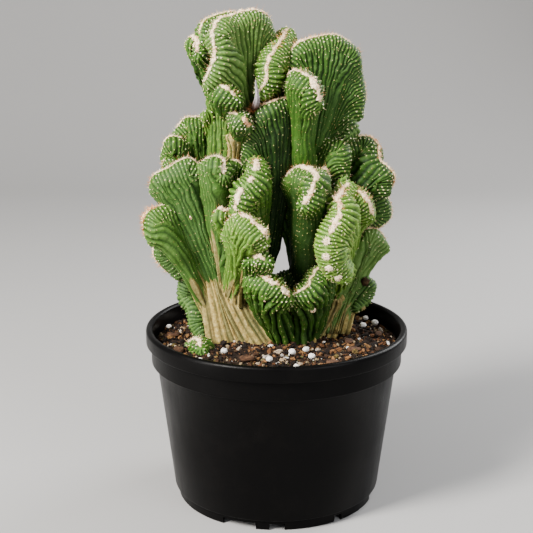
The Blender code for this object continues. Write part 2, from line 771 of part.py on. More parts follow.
def add_plant(parts, helpers):
    flesh = material("cactus_flesh", (0.10, 0.24, 0.06), 0.5)
    mesh = fused_mesh(helpers)
    plant = add_object("cactus", mesh, parts, flesh)
    add_decimate(plant, PLANT_FACES)
    clear = as_helper(add_object("cactus_clearance", mesh.copy(), helpers))
    swell = clear.modifiers.new("clearance", "DISPLACE")
    swell.strength = PLANTING_GAP
    swell.mid_level = 0.0
    add_remesh(clear)
    add_decimate(clear, PLANT_FACES)
    return clear


def add_soil(parts, clearance):
    grit = material("potting_soil", (0.055, 0.035, 0.024), 0.95)
    soil = turned("potting_soil", soil_profile(), parts, grit)
    cut(soil, clearance)


def add_perlite(parts):
    """Round white grains, each a flattened ball that lies on the soil."""
    white = material("perlite", (0.78, 0.75, 0.69), 0.9)
    for index, (x, y, size) in enumerate(PERLITE, 1):
        bm = bmesh.new()
        bmesh.ops.create_icosphere(bm, subdivisions=2, radius=size / 2 * MM)
        bmesh.ops.scale(bm, vec=(1.0, 0.86, 0.76), verts=bm.verts)
        name = f"perlite_{index:02d}"
        grain = add_object(name, mesh_from(bm, name), parts, white)
        height = soil_height(math.hypot(x, y) * MM) + 0.38 * size * MM + GRAIN_GAP
        grain.location = (x * MM, y * MM, height)
        grain.rotation_euler = (0.0, 0.0, index * 0.9)


def add_bark(parts):
    """Flat chips of bark that lie on the soil, each narrower and thinner at one end."""
    brown = material("bark", (0.12, 0.06, 0.03), 0.9)
    for index, (x, y, length, turn) in enumerate(BARK, 1):
        bm = bmesh.new()
        bmesh.ops.create_cube(bm, size=1.0)
        bmesh.ops.scale(bm, vec=(length * MM, 0.55 * length * MM, 0.28 * length * MM), verts=bm.verts)
        tip = [vert for vert in bm.verts if vert.co.x > 0]
        bmesh.ops.scale(bm, vec=(1.0, 0.6, 0.7), verts=tip)
        bmesh.ops.bevel(bm, geom=bm.edges[:], offset=0.06 * length * MM, segments=1, affect="EDGES")
        name = f"bark_chip_{index:02d}"
        chip = add_object(name, mesh_from(bm, name), parts, brown)
        height = soil_height(math.hypot(x, y) * MM) + 0.14 * length * MM + GRAIN_GAP
        chip.location = (x * MM, y * MM, height)
        chip.rotation_euler = (0.0, 0.0, math.radians(turn))


def add_flower(parts):
    """A thin dried tube that narrows to its tip."""
    papery = material("dried_flower", (0.55, 0.47, 0.42), 0.85)
    curve = bpy.data.curves.new("dried_flower", "CURVE")
    curve.dimensions = "3D"
    curve.bevel_depth = MM
    curve.bevel_resolution = 1
    curve.use_fill_caps = True
    spline = curve.splines.new("POLY")
    spline.points.add(len(FLOWER_PATH) - 1)
    for point, (x, y, z, radius) in zip(spline.points, FLOWER_PATH):
        point.co = (x * MM, y * MM, z * MM, 1.0)
        point.radius = radius
    add_object("dried_flower", curve, parts, papery)


clear_scene()
parts_collection = new_collection("potted_cereus_cactus")
helper_collection = new_collection("cutters")
add_pot(parts_collection, helper_collection)
add_soil(parts_collection, add_plant(parts_collection, helper_collection))
add_perlite(parts_collection)
add_bark(parts_collection)
add_flower(parts_collection)
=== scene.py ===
"""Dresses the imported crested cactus: plant, wool, areoles, spines, dried flower, gritty soil and pot."""
import math

import bmesh
import bpy
import numpy as np
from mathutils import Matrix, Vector
from mathutils.bvhtree import BVHTree


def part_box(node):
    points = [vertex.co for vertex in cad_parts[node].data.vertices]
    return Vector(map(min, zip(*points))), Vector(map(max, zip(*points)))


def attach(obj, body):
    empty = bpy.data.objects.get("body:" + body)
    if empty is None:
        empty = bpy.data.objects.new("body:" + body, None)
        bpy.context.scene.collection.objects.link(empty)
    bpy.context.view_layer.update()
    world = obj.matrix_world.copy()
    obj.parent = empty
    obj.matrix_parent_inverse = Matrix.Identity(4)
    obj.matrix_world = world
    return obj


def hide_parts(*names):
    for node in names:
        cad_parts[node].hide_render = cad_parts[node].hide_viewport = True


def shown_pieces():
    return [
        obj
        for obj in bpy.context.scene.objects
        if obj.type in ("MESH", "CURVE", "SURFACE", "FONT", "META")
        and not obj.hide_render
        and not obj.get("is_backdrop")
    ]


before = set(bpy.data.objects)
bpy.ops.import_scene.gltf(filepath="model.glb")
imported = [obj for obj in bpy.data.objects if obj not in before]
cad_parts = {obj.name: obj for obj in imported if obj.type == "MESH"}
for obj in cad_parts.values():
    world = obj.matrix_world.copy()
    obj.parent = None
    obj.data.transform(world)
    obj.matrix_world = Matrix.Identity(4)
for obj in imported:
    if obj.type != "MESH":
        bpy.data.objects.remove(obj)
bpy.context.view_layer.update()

MM = 0.001

# Relief of the plant: lengths in millimetres
RIB_PITCH = 2.2
BACK_PITCH = 3.0
FIBRE_PITCH = 1.5
RIB_WANDER = 0.8
MERGE_PITCH = 1.30
MERGE_FADE = 0.45
MERGE_START = 7.0
MERGE_REACH = 9.0
USUAL_FOLDS = 0.3
WIDEST_RIB = 4.6
NEAR_STEP = 1.3
MIDDLE_STEP = 1.8
FAR_STEP = 3.4
NEAR_ROWS = 7.0
MIDDLE_ROWS = 14.0
ROWS_WIDEN = 26.0
LONGEST_BEND = 13.0
GROWTH_EASE = 7.0
AREOLE_STEP = 4.4
FIBRE_DEPTH = 0.9

# Soft noise in layers: height, wavelength and seed
LUMPS = ((0.55, 17.0, 0), (0.25, 7.0, 100))
STRANDS = (0.30, 1.2, 500)
STRAND_WARP = (0.20, 3.0, 700)
WOOL_WIDTH = ((0.30, 9.0, 61), (0.40, 3.4, 62))
SOIL_BUMPS = ((0.7, 22.0, 31), (0.45, 8.0, 32), (0.35, 3.5, 33))
GRAIN_LUMPS = ((0.10, 1.1, 0), (0.05, 0.45, 9))

# Relief of the plant: counts of steps, points, ribs and knobs, then shares
CURVE_STEPS = 24
RIB_POINTS = 3
RIB_GROUPS = (1, 2, 4, 8)
STRAP_WIDTHS = (4, 9)
CREST_KNOBS = 1.2
RIB_DEPTH = 0.48
END_THICKNESS = 0.62
SQUARE_GROWTH = 0.7
CORK_STRAIGHTNESS = 0.85

# Search for what covers a place on a lobe, in millimetres: how far from the skin it starts, for one point or
# for a whole ring, how far it goes, and how deep below the edge of the soil it isn't needed
SKIN_MARGIN = 0.4
RING_MARGIN = 1.8
COVER_REACH = 30.0
SOIL_COVER = 6.0

# Wool, spines and areoles: counts, and how far from the crest in millimetres areoles are young or spiny
RIDGE_SIDES = 10
TUFT_ROUNDS = 4
STAR_BALLS = 46
YOUNG_AREOLES = 9.0
SPINY_AREOLES = 13.0
THROAT_SPINES = 150

# What a lobe has that isn't in the tables below: its wool, tone with painted light and shade, and cork
PLAIN_WOOL = ((0.03, 0.97, 0.85, 0.0),)
USUAL_TONE_AND_PAINTED_LIGHT = (0.0, 0.0, 0.0, 0.15)
NO_CORK = (-100, 10)

# Camera: place in metres, sensor and lens in millimetres
CAMERA_PLACE = (0.0, -0.6815, 0.3230)
CAMERA_DOWN = math.radians(15.04)
CAMERA_TURN = math.radians(0.5)
SENSOR = 36.0
FOCAL = 81.05


def lobe(name, root, neck, half, crest, root_width=4, root_half=None, spread=0.2, aim=None, reach=0.0):
    """One lobe in millimetres: it grows from root past neck, and rounds over with radius half on crest.

    root_width and root_half are half its width and thickness at the root. spread is the share of the crest's
    width that it has at the neck. With a reach, the lobe turns to meet its crest along aim over that length.
    """
    return {
        "name": name,
        "root": np.array(root, float),
        "neck": np.array(neck, float),
        "half": half,
        "crest": np.array(crest, float),
        "root_width": root_width,
        "root_half": 0.6 * half if root_half is None else root_half,
        "spread": spread,
        "aim": aim,
        "reach": reach,
    }


# The lobes, as in part.py. Their places were typed as image positions and depths, and a scratch program
# worked out these millimetres from them: report.md says how, and that this isn't as it should be
LOBES = (
    lobe("top_left_fan", (-19, 8, 210), (-16, 2, 239), 7.2,
         [(-40, -18, 250), (-36, -22, 258), (-34, -24, 264), (-34, -25, 270), (-35, -24, 276),
          (-34, -21, 280), (-31, -17, 284), (-26, -12, 285), (-20, -9, 287), (-12, -6, 288),
          (-5, -2, 284), (-1, 1, 275)], spread=0.16),
    lobe("top_left_rear_fold", (-30, 12, 207), (-30, 10, 245), 6.8,
         [(-43, -5, 271), (-42, 0, 280), (-36, 5, 284), (-26, 11, 286), (-16, 17, 284)], root_width=6),
    lobe("top_left_ear", (-32, 11, 222), (-36, 6, 244), 6.2,
         [(-50, 6, 271), (-48, 0, 273), (-45, -4, 271), (-44, -7, 265)]),
    lobe("throat_knob_upper", (-26, -2, 230), (-28, -10, 236), 7.8,
         [(-38, -10, 251), (-32, -18, 249), (-28, -22, 247), (-22, -22, 242)], root_width=2,
         root_half=5.5),
    lobe("throat_knob_lower", (-20, -2, 217), (-21, -10, 223), 6.8,
         [(-26, -15, 233), (-22, -21, 232), (-18, -24, 230), (-15, -22, 226)], root_width=2, root_half=5),
    lobe("edge_on_fold", (-2, 14, 212), (0, 14, 244), 8.4,
         [(6, 7, 277), (2, -5, 272), (-2, -13, 266), (-5, -18, 260), (-6, -19, 252), (-10, -15, 243)],
         root_width=6, spread=0.3),
    lobe("edge_on_rear_fold", (0, 16, 212), (2, 15, 242), 5.6,
         [(-5, 11, 272), (0, 8, 274), (4, 6, 274), (6, 5, 271)], spread=0.3),
    lobe("central_sheet", (-14, 8, 117), (3, 3, 172), 6.8,
         [(-20, -2, 201), (-20, -6, 213), (-17, -9, 224), (-11, -12, 234), (-4, -13, 238), (8, -8, 241)],
         root_width=2, root_half=5, spread=0.3),
    lobe("top_right_fan", (16, 9, 178), (20, 5, 214), 7.4,
         [(3, -6, 254), (6, -6, 263), (12, -4, 270), (22, 0, 273), (32, 3, 274), (40, 6, 270),
          (46, 8, 265), (48, 10, 256), (50, 11, 246), (51, 11, 238), (50, 10, 229)], root_width=6,
         root_half=6, spread=0.14),
    lobe("top_right_heel", (22, 8, 202), (31, 6, 214), 5.2,
         [(42, 7, 228), (46, 3, 224), (46, 1, 221), (42, -2, 218)], root_width=3),
    lobe("club_lobe", (14, 4, 176), (15, -3, 216), 7.4,
         [(5, -10, 251), (9, -16, 256), (12, -20, 256), (16, -24, 254), (20, -26, 250), (22, -27, 246),
          (24, -25, 239)], root_width=3, root_half=6.5, spread=0.25),
    lobe("right_mid_lobe", (18, 6, 178), (28, 0, 200), 7.2,
         [(31, 2, 215), (38, 2, 215), (42, 1, 211), (43, 0, 206), (42, 0, 196)], spread=0.3),
    lobe("right_shoulder_fan", (27, 12, 150), (35, 13, 177), 7.4,
         [(41, 7, 213), (50, 10, 216), (56, 10, 214), (59, 8, 210), (59, 3, 204), (64, 1, 199),
          (68, 0, 194), (66, 1, 185)], root_width=5),
    lobe("right_rear_lobe", (34, 13, 144), (46, 15, 164), 6.4,
         [(65, 16, 180), (68, 16, 172), (67, 16, 165), (60, 15, 159)]),
    lobe("right_low_fan", (35, 4, 98), (43, 8, 130), 6.0,
         [(49, 8, 152), (52, 8, 160), (58, 8, 161), (62, 8, 158), (66, 8, 152)], root_half=4.5),
    lobe("right_skirt_fan", (32, 3, 96), (40, 4, 111), 4.6,
         [(54, 6, 133), (59, 5, 129), (59, 4, 124), (56, 2, 119), (49, 0, 114)], root_width=3),
    lobe("front_right_ridge", (37, 12, 128), (44, 4, 160), 8.4,
         [(40, -16, 193), (34, -28, 188), (35, -33, 182), (34, -36, 178), (31, -39, 173), (28, -41, 167),
          (27, -42, 161), (28, -41, 154), (30, -38, 148), (37, -33, 140)], root_width=8, root_half=6,
         spread=0.45),
    lobe("front_right_rear_ridge", (36, 12, 140), (43, 3, 164), 7.6,
         [(37, -10, 189), (44, -15, 189), (49, -17, 186), (52, -17, 182), (55, -14, 173)], root_width=5,
         root_half=6),
    lobe("front_right_knob", (34, 1, 165), (36, -3, 182), 5.0,
         [(34, -8, 192), (38, -11, 195), (41, -11, 192)], root_width=3),
    lobe("front_centre_club", (16, -1, 120), (16, -8, 168), 8.6,
         [(5, -8, 195), (10, -15, 201), (14, -21, 203), (20, -27, 202), (22, -32, 200), (20, -35, 195),
          (18, -36, 190), (14, -34, 184)], root_width=3, root_half=7.2),
    lobe("front_centre_ear", (20, 0, 156), (24, -6, 182), 5.6,
         [(23, -12, 200), (28, -13, 200), (30, -12, 194)], root_width=3),
    lobe("centre_rear_stem", (21, 8, 120), (10, 7, 154), 6.0,
         [(0, 6, 179), (6, 6, 182), (14, 6, 179)], root_width=2, root_half=5.5),
    lobe("front_left_ridge", (-14, 1, 138), (-11, -8, 177), 8.6,
         [(-12, -17, 207), (-12, -26, 201), (-16, -30, 196), (-20, -32, 192), (-22, -33, 186),
          (-24, -31, 179)], root_half=6, spread=0.3),
    lobe("front_left_shelf", (-25, 2, 110), (-26, -16, 143), 8.4,
         [(-28, -22, 168), (-25, -28, 176), (-21, -32, 179), (-17, -35, 178), (-13, -38, 176),
          (-9, -40, 172), (-6, -41, 170), (-5, -39, 164)], root_half=5),
    lobe("front_left_low_knob", (-13, -8, 122), (-14, -22, 138), 6.4,
         [(-15, -35, 153), (-10, -39, 156), (-5, -39, 153)], root_width=3, aim=(0.1, -0.8, 0.5), reach=7),
    lobe("front_left_low_shelf", (7, -4, 92), (-8, -16, 120), 8.4,
         [(-16, -21, 146), (-10, -30, 144), (-6, -34, 142), (-1, -36, 140), (3, -36, 137), (8, -33, 132)],
         root_half=6, spread=0.35),
    lobe("front_right_low_shelf", (16, -3, 92), (26, -10, 124), 8.2,
         [(30, -9, 145), (24, -18, 144), (20, -23, 140), (18, -26, 136), (14, -28, 134), (8, -28, 130)],
         root_half=6, spread=0.35),
    lobe("right_root_flare", (22, 0, 90), (30, -1, 106), 2.8,
         [(36, 0, 120), (38, 2, 122), (39, 4, 122)], root_width=1.5),
    lobe("left_broad_fan", (-24, 0, 98), (-43, -4, 162), 7.0,
         [(-73, 1, 188), (-71, -4, 194), (-68, -6, 197), (-62, -8, 200), (-56, -9, 204), (-50, -9, 206),
          (-44, -9, 202)], root_width=5, root_half=4.5),
    lobe("left_inner_lobe", (-22, 0, 98), (-36, -9, 161), 7.6,
         [(-44, -5, 202), (-39, -11, 206), (-34, -15, 208), (-30, -18, 206), (-30, -21, 199)],
         root_half=5),
    lobe("left_inner_rear_lobe", (-20, 1, 100), (-27, -3, 156), 6.0,
         [(-28, -2, 201), (-24, -5, 204), (-19, -6, 201)], root_width=3),
    lobe("left_mid_lobe", (-37, -1, 108), (-52, -8, 144), 7.0,
         [(-61, -6, 179), (-68, -10, 178), (-73, -13, 176), (-76, -14, 172), (-76, -13, 166),
          (-74, -10, 160)], root_width=3, root_half=3.5),
    lobe("left_low_lobe", (-29, 5, 95), (-46, 3, 136), 5.6,
         [(-72, 0, 154), (-72, 0, 146), (-68, 0, 140), (-61, 0, 133)], root_width=5),
    lobe("left_skirt_lobe", (-32, 4, 88), (-42, 2, 105), 6.0,
         [(-58, 4, 134), (-58, 1, 124), (-53, -2, 116), (-52, -4, 110), (-51, -6, 105), (-47, -9, 99)],
         root_width=6),
    lobe("corky_foot", (-14, -4, 84), (-30, -6, 114), 6.0,
         [(-47, 2, 141), (-39, 2, 146), (-32, 1, 146), (-23, 1, 143)], root_width=19, root_half=8,
         spread=0.7),
    lobe("basal_pup", (-44, -8, 80), (-46, -14, 89), 7.8,
         [(-52, -14, 98), (-46, -21, 102), (-43, -28, 99)]),
    lobe("rear_left_upper_lobe", (-36, 14, 152), (-45, 14, 195), 7.0,
         [(-59, 13, 219), (-54, 14, 225), (-50, 14, 226), (-42, 14, 226)]),
    lobe("rear_left_mid_lobe", (-38, 12, 147), (-50, 10, 186), 6.6,
         [(-67, 9, 205), (-64, 6, 214), (-59, 6, 216), (-53, 9, 213)]),
    lobe("rear_left_small_lobe", (-42, 12, 153), (-54, 8, 185), 5.0,
         [(-67, 6, 198), (-64, 4, 204), (-59, 4, 206)], root_width=3),
    lobe("left_trunk", (-24, 10, 104), (-32, 9, 198), 7.0,
         [(-38, 4, 251), (-30, 3, 254), (-22, 4, 254), (-15, 9, 247)], root_half=8, spread=0.5),
    lobe("right_trunk", (22, 10, 104), (18, 8, 163), 8.0,
         [(6, 7, 207), (16, 3, 210), (26, 7, 204)], root_half=8, spread=0.5),
    lobe("front_foot", (4, -2, 86), (6, -3, 112), 6.4,
         [(-8, -4, 127), (0, -3, 136), (8, -3, 138), (16, -6, 131)], root_width=18, root_half=7,
         spread=0.5),
    lobe("front_left_small_knob", (-29, -5, 150), (-32, -13, 164), 5.0,
         [(-35, -16, 176), (-32, -20, 179), (-27, -21, 178)], root_width=3),
    lobe("throat_scar", (-24, 2, 200), (-24, -3, 210), 4.2,
         [(-27, -5, 219), (-24, -7, 221), (-20, -7, 220)], root_width=2),
    lobe("trunk_bud", (-38, 6, 218), (-40, 4, 224), 3.4,
         [(-43, 3, 230), (-40, 1, 232)], root_width=2),
    lobe("back_crown_fan", (14, 18, 182), (11, 22, 229), 7.4,
         [(3, 19, 255), (11, 24, 264), (20, 28, 264), (30, 32, 260), (37, 34, 254), (42, 34, 241)],
         root_width=5),
    lobe("back_left_crown_fan", (-26, 18, 194), (-28, 22, 229), 7.0,
         [(-41, 21, 256), (-37, 28, 266), (-30, 32, 272), (-20, 34, 273), (-11, 31, 266)], root_width=5),
    lobe("back_centre_fan", (-4, 22, 181), (-3, 34, 210), 7.4,
         [(-21, 33, 227), (-12, 40, 235), (-3, 44, 237), (6, 44, 234), (16, 39, 226)], root_width=5,
         spread=0.25),
    lobe("back_centre_ridge", (-6, 22, 169), (-9, 34, 191), 8.0,
         [(-8, 46, 216), (-12, 54, 205), (-9, 56, 196), (-14, 56, 184)], spread=0.3),
    lobe("back_left_fan", (-27, 16, 114), (-44, 26, 162), 7.2,
         [(-66, 22, 185), (-63, 30, 193), (-56, 36, 197), (-48, 40, 198), (-39, 43, 192)], root_width=5),
    lobe("back_left_low_fan", (-26, 12, 96), (-50, 26, 123), 7.0,
         [(-71, 22, 149), (-70, 30, 157), (-64, 36, 161), (-57, 40, 161), (-51, 45, 155)], root_width=5),
    lobe("back_right_fan", (24, 18, 126), (38, 28, 166), 7.4,
         [(30, 33, 196), (40, 36, 202), (48, 36, 202), (55, 32, 198), (61, 27, 189)], root_width=5),
    lobe("back_right_low_fan", (26, 12, 97), (42, 26, 123), 7.0,
         [(33, 42, 150), (43, 42, 154), (51, 38, 154), (58, 32, 150), (61, 27, 142)], root_width=5),
    lobe("back_right_ridge", (22, 18, 133), (25, 30, 160), 8.2,
         [(24, 46, 186), (30, 54, 175), (26, 58, 166), (30, 58, 158), (24, 55, 149)], spread=0.3),
    lobe("back_left_ridge", (-22, 16, 121), (-25, 30, 151), 8.2,
         [(-27, 48, 178), (-32, 56, 168), (-28, 58, 160), (-32, 58, 152), (-25, 53, 144)], spread=0.3),
    lobe("back_low_left_shelf", (-9, 14, 90), (-24, 34, 102), 7.8,
         [(-36, 42, 124), (-27, 50, 126), (-20, 54, 122), (-11, 54, 115)], root_width=5, spread=0.4),
    lobe("back_low_right_shelf", (13, 14, 90), (28, 32, 102), 7.6,
         [(10, 52, 113), (18, 52, 120), (26, 48, 124), (36, 40, 124)], root_width=5, spread=0.4),
)

# How corky each lobe is: height in mm below which it is tan, and how wide the change is
CORK = {
    "corky_foot": (146, 22),
    "left_broad_fan": (128, 16),
    "left_inner_lobe": (140, 24),
    "left_inner_rear_lobe": (138, 20),
    "left_mid_lobe": (124, 14),
    "left_low_lobe": (112, 12),
    "left_skirt_lobe": (88, 8),
    "front_left_shelf": (128, 14),
    "right_root_flare": (126, 14),
    "right_skirt_fan": (104, 10),
    "right_low_fan": (108, 12),
    "front_foot": (108, 10),
    "throat_scar": (214, 30),
    "back_left_low_fan": (118, 16),
    "back_low_left_shelf": (110, 12),
    "back_low_right_shelf": (108, 10),
    "back_right_low_fan": (112, 12),
}

# Tone of each lobe's skin, with painted light and shade: how pale and yellow, how dark, how grey, and how
# much darker far from its crest
# pale is partly painted light on lobes lit brighter; how dark, and how much darker far from the crest, are
# painted shade
TONE_AND_PAINTED_LIGHT = {
    "top_left_fan": (0.55, 0.0, 0.70, 0.0),
    "edge_on_fold": (0.35, 0.0, 0.0, 0.2),
    "left_trunk": (0.35, 0.12, 0.0, 0.0),
    "right_trunk": (0.3, 0.0, 0.0, 0.0),
    "trunk_bud": (0.5, 0.0, 0.0, 0.0),
    "central_sheet": (0.0, 0.55, 0.0, 0.5),
    "front_centre_club": (0.1, 0.2, 0.0, 1.4),
    "club_lobe": (0.05, 0.1, 0.0, 0.15),
    "throat_knob_lower": (0.0, 0.3, 0.2, 0.0),
    "throat_scar": (0.2, 0.5, 0.0, 0.0),
    "top_right_fan": (0.0, 0.0, 0.15, 0.4),
    "top_right_heel": (0.0, 0.2, 0.3, 0.0),
    "left_broad_fan": (0.0, 0.0, 0.40, 0.15),
    "left_inner_lobe": (0.1, 0.0, 0.25, 0.1),
    "left_mid_lobe": (0.2, 0.0, 0.2, 0.1),
    "left_low_lobe": (0.0, 0.2, 0.5, 0.0),
    "left_skirt_lobe": (0.0, 0.25, 0.5, 0.0),
    "front_left_ridge": (0.2, 0.0, 0.0, 0.3),
    "front_left_shelf": (0.65, 0.0, 0.0, 0.0),
    "front_left_small_knob": (0.5, 0.0, 0.0, 0.0),
    "front_left_low_shelf": (0.1, 0.0, 0.0, 0.55),
    "front_right_low_shelf": (0.1, 0.1, 0.0, 0.55),
    "front_right_ridge": (1.0, 0.0, 0.0, 0.0),
    "front_right_rear_ridge": (0.7, 0.0, 0.0, 0.0),
    "front_foot": (0.0, 0.6, 0.0, 0.3),
    "right_low_fan": (0.6, 0.0, 0.9, 0.0),
    "right_skirt_fan": (0.0, 0.1, 0.6, 0.0),
    "right_rear_lobe": (0.0, 0.1, 0.3, 0.0),
    "right_shoulder_fan": (0.0, 0.4, 0.0, 0.3),
    "right_mid_lobe": (0.1, 0.0, 0.1, 0.2),
    "rear_left_upper_lobe": (0.1, 0.0, 0.0, 0.5),
    "rear_left_mid_lobe": (0.1, 0.1, 0.0, 0.4),
}

# Ribs of each lobe: how deep they are near its crest and far from it, and how soon that changes, in mm
RELIEF = {
    "left_trunk": (1.0, 1.0, 20),
    "central_sheet": (1.0, 0.8, 20),
    "club_lobe": (1.0, 0.45, 16),
    "front_centre_club": (1.1, 0.2, 12),
    "left_broad_fan": (0.9, 0.65, 18),
    "left_inner_lobe": (1.0, 0.6, 14),
    "left_mid_lobe": (0.9, 0.55, 14),
    "left_low_lobe": (0.6, 0.5, 20),
    "left_skirt_lobe": (0.9, 0.9, 20),
    "top_right_fan": (0.9, 0.7, 24),
    "right_trunk": (0.6, 0.6, 20),
    "front_left_low_shelf": (1.1, 1.3, 20),
    "front_right_low_shelf": (1.0, 1.1, 20),
    "front_right_ridge": (1.1, 1.1, 20),
    "right_low_fan": (0.7, 0.6, 20),
    "corky_foot": (0.4, 0.4, 20),
    "throat_scar": (0.3, 0.3, 20),
}
USUAL_RELIEF = (1.0, 0.75, 22)

# Lobes whose ribs merge into thick folds away from the crest: how much wider in mm they are where they merge
THICK_FOLDS = {
    "front_left_low_shelf": 1.9,
    "front_right_low_shelf": 1.6,
    "front_foot": 1.9,
    "left_skirt_lobe": 0.9,
    "left_broad_fan": 0.4,
    "left_mid_lobe": 0.5,
}

# Share of the small woolly cushions that is left on lobes that lost most of theirs
FEW_AREOLES = {"left_skirt_lobe": 0.25, "left_low_lobe": 0.4, "right_skirt_fan": 0.3, "right_low_fan": 0.7,
               "central_sheet": 0.8}

# Lobes built from fibres finer than ribs
FIBROUS = ("corky_foot", "right_root_flare")

# Lobes that stay knobbly down to the root
KNOBBLY = ("left_trunk",)

# Wool on each crest, in stretches: where each starts and ends along it, its width, and how brown it is.
# A lobe without an entry has plain wool, unless its crest is bare
WOOL = {
    "top_left_fan": ((0.0, 0.93, 0.88, 0.0),),
    "top_left_rear_fold": ((0.1, 0.8, 0.6, 0.0),),
    "top_left_ear": ((0.2, 1.0, 1.2, 0.05),),
    "throat_knob_upper": ((0.15, 0.95, 0.9, 0.0),),
    "edge_on_rear_fold": ((0.05, 0.95, 0.7, 0.05),),
    "throat_knob_lower": ((0.0, 0.40, 0.7, 0.0), (0.62, 1.0, 1.2, 0.36)),
    "edge_on_fold": ((0.0, 0.97, 0.85, 0.03),),
    "central_sheet": ((0.68, 1.0, 0.8, 0.1),),
    "top_right_fan": ((0.0, 0.55, 0.8, 0.05), (0.60, 0.68, 0.6, 0.3), (0.80, 0.93, 0.7, 0.3)),
    "club_lobe": ((0.05, 0.55, 0.9, 0.05), (0.55, 0.97, 1.5, 0.0)),
    "front_centre_club": ((0.0, 0.35, 0.9, 0.05), (0.33, 0.70, 1.25, 0.0), (0.70, 0.98, 1.35, 0.0)),
    "front_centre_ear": ((0.2, 0.9, 0.5, 0.1),),
    "front_left_ridge": ((0.03, 0.26, 1.75, 0.0), (0.37, 0.47, 1.1, 0.0), (0.60, 0.95, 1.5, 0.0)),
    "front_left_small_knob": ((0.0, 1.0, 1.2, 0.05),),
    "front_left_shelf": ((0.05, 0.40, 0.7, 0.0), (0.40, 0.95, 1.5, 0.05)),
    "front_left_low_knob": ((0.25, 0.85, 1.2, 0.05),),
    "front_left_low_shelf": ((0.12, 0.72, 1.15, 0.0), (0.76, 0.97, 1.5, 0.03)),
    "front_right_low_shelf": ((0.05, 0.95, 0.75, 0.06),),
    "left_broad_fan": ((0.1, 1.0, 0.6, 0.05),),
    "left_inner_lobe": ((0.1, 0.55, 0.6, 0.0), (0.55, 1.0, 1.3, 0.0)),
    "left_inner_rear_lobe": ((0.0, 1.0, 0.6, 0.0),),
    "left_mid_lobe": ((0.05, 0.45, 0.7, 0.12), (0.45, 0.80, 1.3, 0.20), (0.80, 0.97, 1.0, 0.32)),
    "left_low_lobe": ((0.05, 0.8, 0.6, 0.1),),
    "right_shoulder_fan": ((0.1, 0.95, 0.9, 0.12),),
    "right_low_fan": ((0.1, 0.9, 0.6, 0.1),),
    "front_right_rear_ridge": ((0.0, 0.95, 1.25, 0.1),),
    "front_right_ridge": ((0.0, 0.30, 1.3, 0.12), (0.28, 0.53, 1.1, 0.0)),
    "rear_left_mid_lobe": ((0.1, 0.9, 0.9, 0.12),),
    "rear_left_small_lobe": ((0.1, 0.9, 0.9, 0.12),),
}

# Lobes without wool on their crests
BARE_CRESTS = (
    "right_mid_lobe", "front_right_knob", "throat_scar", "trunk_bud", "top_right_heel", "left_trunk",
    "right_trunk", "front_foot", "corky_foot", "right_root_flare", "left_skirt_lobe", "right_skirt_fan",
)

# Stretches of crest with orange spines: where each starts and ends, and how many there are
SPINY = {
    "left_mid_lobe": (0.30, 0.92, 170),
    "left_broad_fan": (0.0, 0.22, 40),
    "left_low_lobe": (0.3, 0.9, 16),
    "front_left_small_knob": (0.0, 0.5, 14),
    "front_left_ridge": (0.0, 0.12, 14),
    "front_right_rear_ridge": (0.0, 0.6, 44),
    "front_right_ridge": (0.0, 0.35, 26),
    "edge_on_fold": (0.1, 0.42, 30),
    "top_right_fan": (0.15, 0.40, 16),
    "right_shoulder_fan": (0.3, 0.95, 26),
    "top_left_rear_fold": (0.1, 0.5, 10),
}

# A flat patch of dead brown skin, nearly black as painted shade so that it looks like a hollow: lobe, share
# along its crest, distance below it and radius in mm
HOLLOW = ("right_skirt_fan", 0.05, 6, 2.5)

# Marks on the forward skin of a lobe: share along its crest and distance below it in mm, then the radius in
# mm, the shade of the rim (0 brown, 1 white) and the radius of a dark middle
MARKS = (
    ("left_broad_fan", 0.50, 34, 1.3, 0.55, 0.7),
    ("front_right_low_shelf", 0.80, 18, 2.0, 0.62, 0.8),
    ("front_left_low_shelf", 0.65, 14, 1.0, 0.50, 0.0),
    ("left_inner_lobe", 0.65, 16, 0.9, 0.20, 0.4),
)

# Separate starry tufts: the place of each along its crest
TUFTS = {"front_right_ridge": (0.585, 0.70, 0.81, 0.94)}

# The finish slot and the CAD node of the larger pieces
PLANT = ("cactus_flesh", "cactus")
SOIL = ("potting_soil", "potting_soil")
POT = ("black_plastic", "nursery_pot")
FLOWER = ("dried_flower", "dried_flower")


# ---------------------------------------------------------------- small tools


def smooth_step(x):
    x = np.clip(x, 0.0, 1.0)
    return x * x * (3 - 2 * x)


def unit(vectors):
    return vectors / np.maximum(np.linalg.norm(vectors, axis=-1, keepdims=True), 1e-9)


def waves(points, wavelength, seed):
    """Soft noise at each point, mostly between -1 and 1, from a few crossed waves."""
    draw = np.random.default_rng(seed)
    total = np.zeros(points.shape[:-1])
    for _ in range(5):
        direction = unit(draw.normal(size=3)) * (2 * math.pi / wavelength) * draw.uniform(0.7, 1.4)
        total += np.sin(points @ direction + draw.uniform(0, 2 * math.pi))
    return total / 5 * 1.6


def layered(points, layers, seed=0):
    """Waves added up in layers, each with a height, a wavelength and a seed."""
    return sum(height * waves(points, wavelength, seed + own) for height, wavelength, own in layers)


def mesh_object(name, points, faces, surface, smooth=True):
    """A mesh object from points in millimetres."""
    mesh = bpy.data.meshes.new(name)
    faces = faces if isinstance(faces, list) else faces.tolist()
    mesh.from_pydata((np.asarray(points) * MM).tolist(), [], faces)
    if smooth:
        mesh.shade_smooth()
    mesh.materials.append(surface)
    obj = bpy.data.objects.new(name, mesh)
    bpy.context.scene.collection.objects.link(obj)
    return obj


def paint(obj, name, values):
    """Stores one colour or number for each point, for the material to read."""
    values = np.asarray(values, float)
    if values.ndim == 1:
        values = np.stack([values] * 3, axis=-1)
    layer = obj.data.color_attributes.new(name, "FLOAT_COLOR", "POINT")
    layer.data.foreach_set("color", np.hstack([values, np.ones((len(values), 1))]).ravel())


def dress(obj, slot, *nodes):
    """The piece rides on the part's one body and stands for the CAD nodes; slot is not used."""
    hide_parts(*nodes)
    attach(obj, "root")


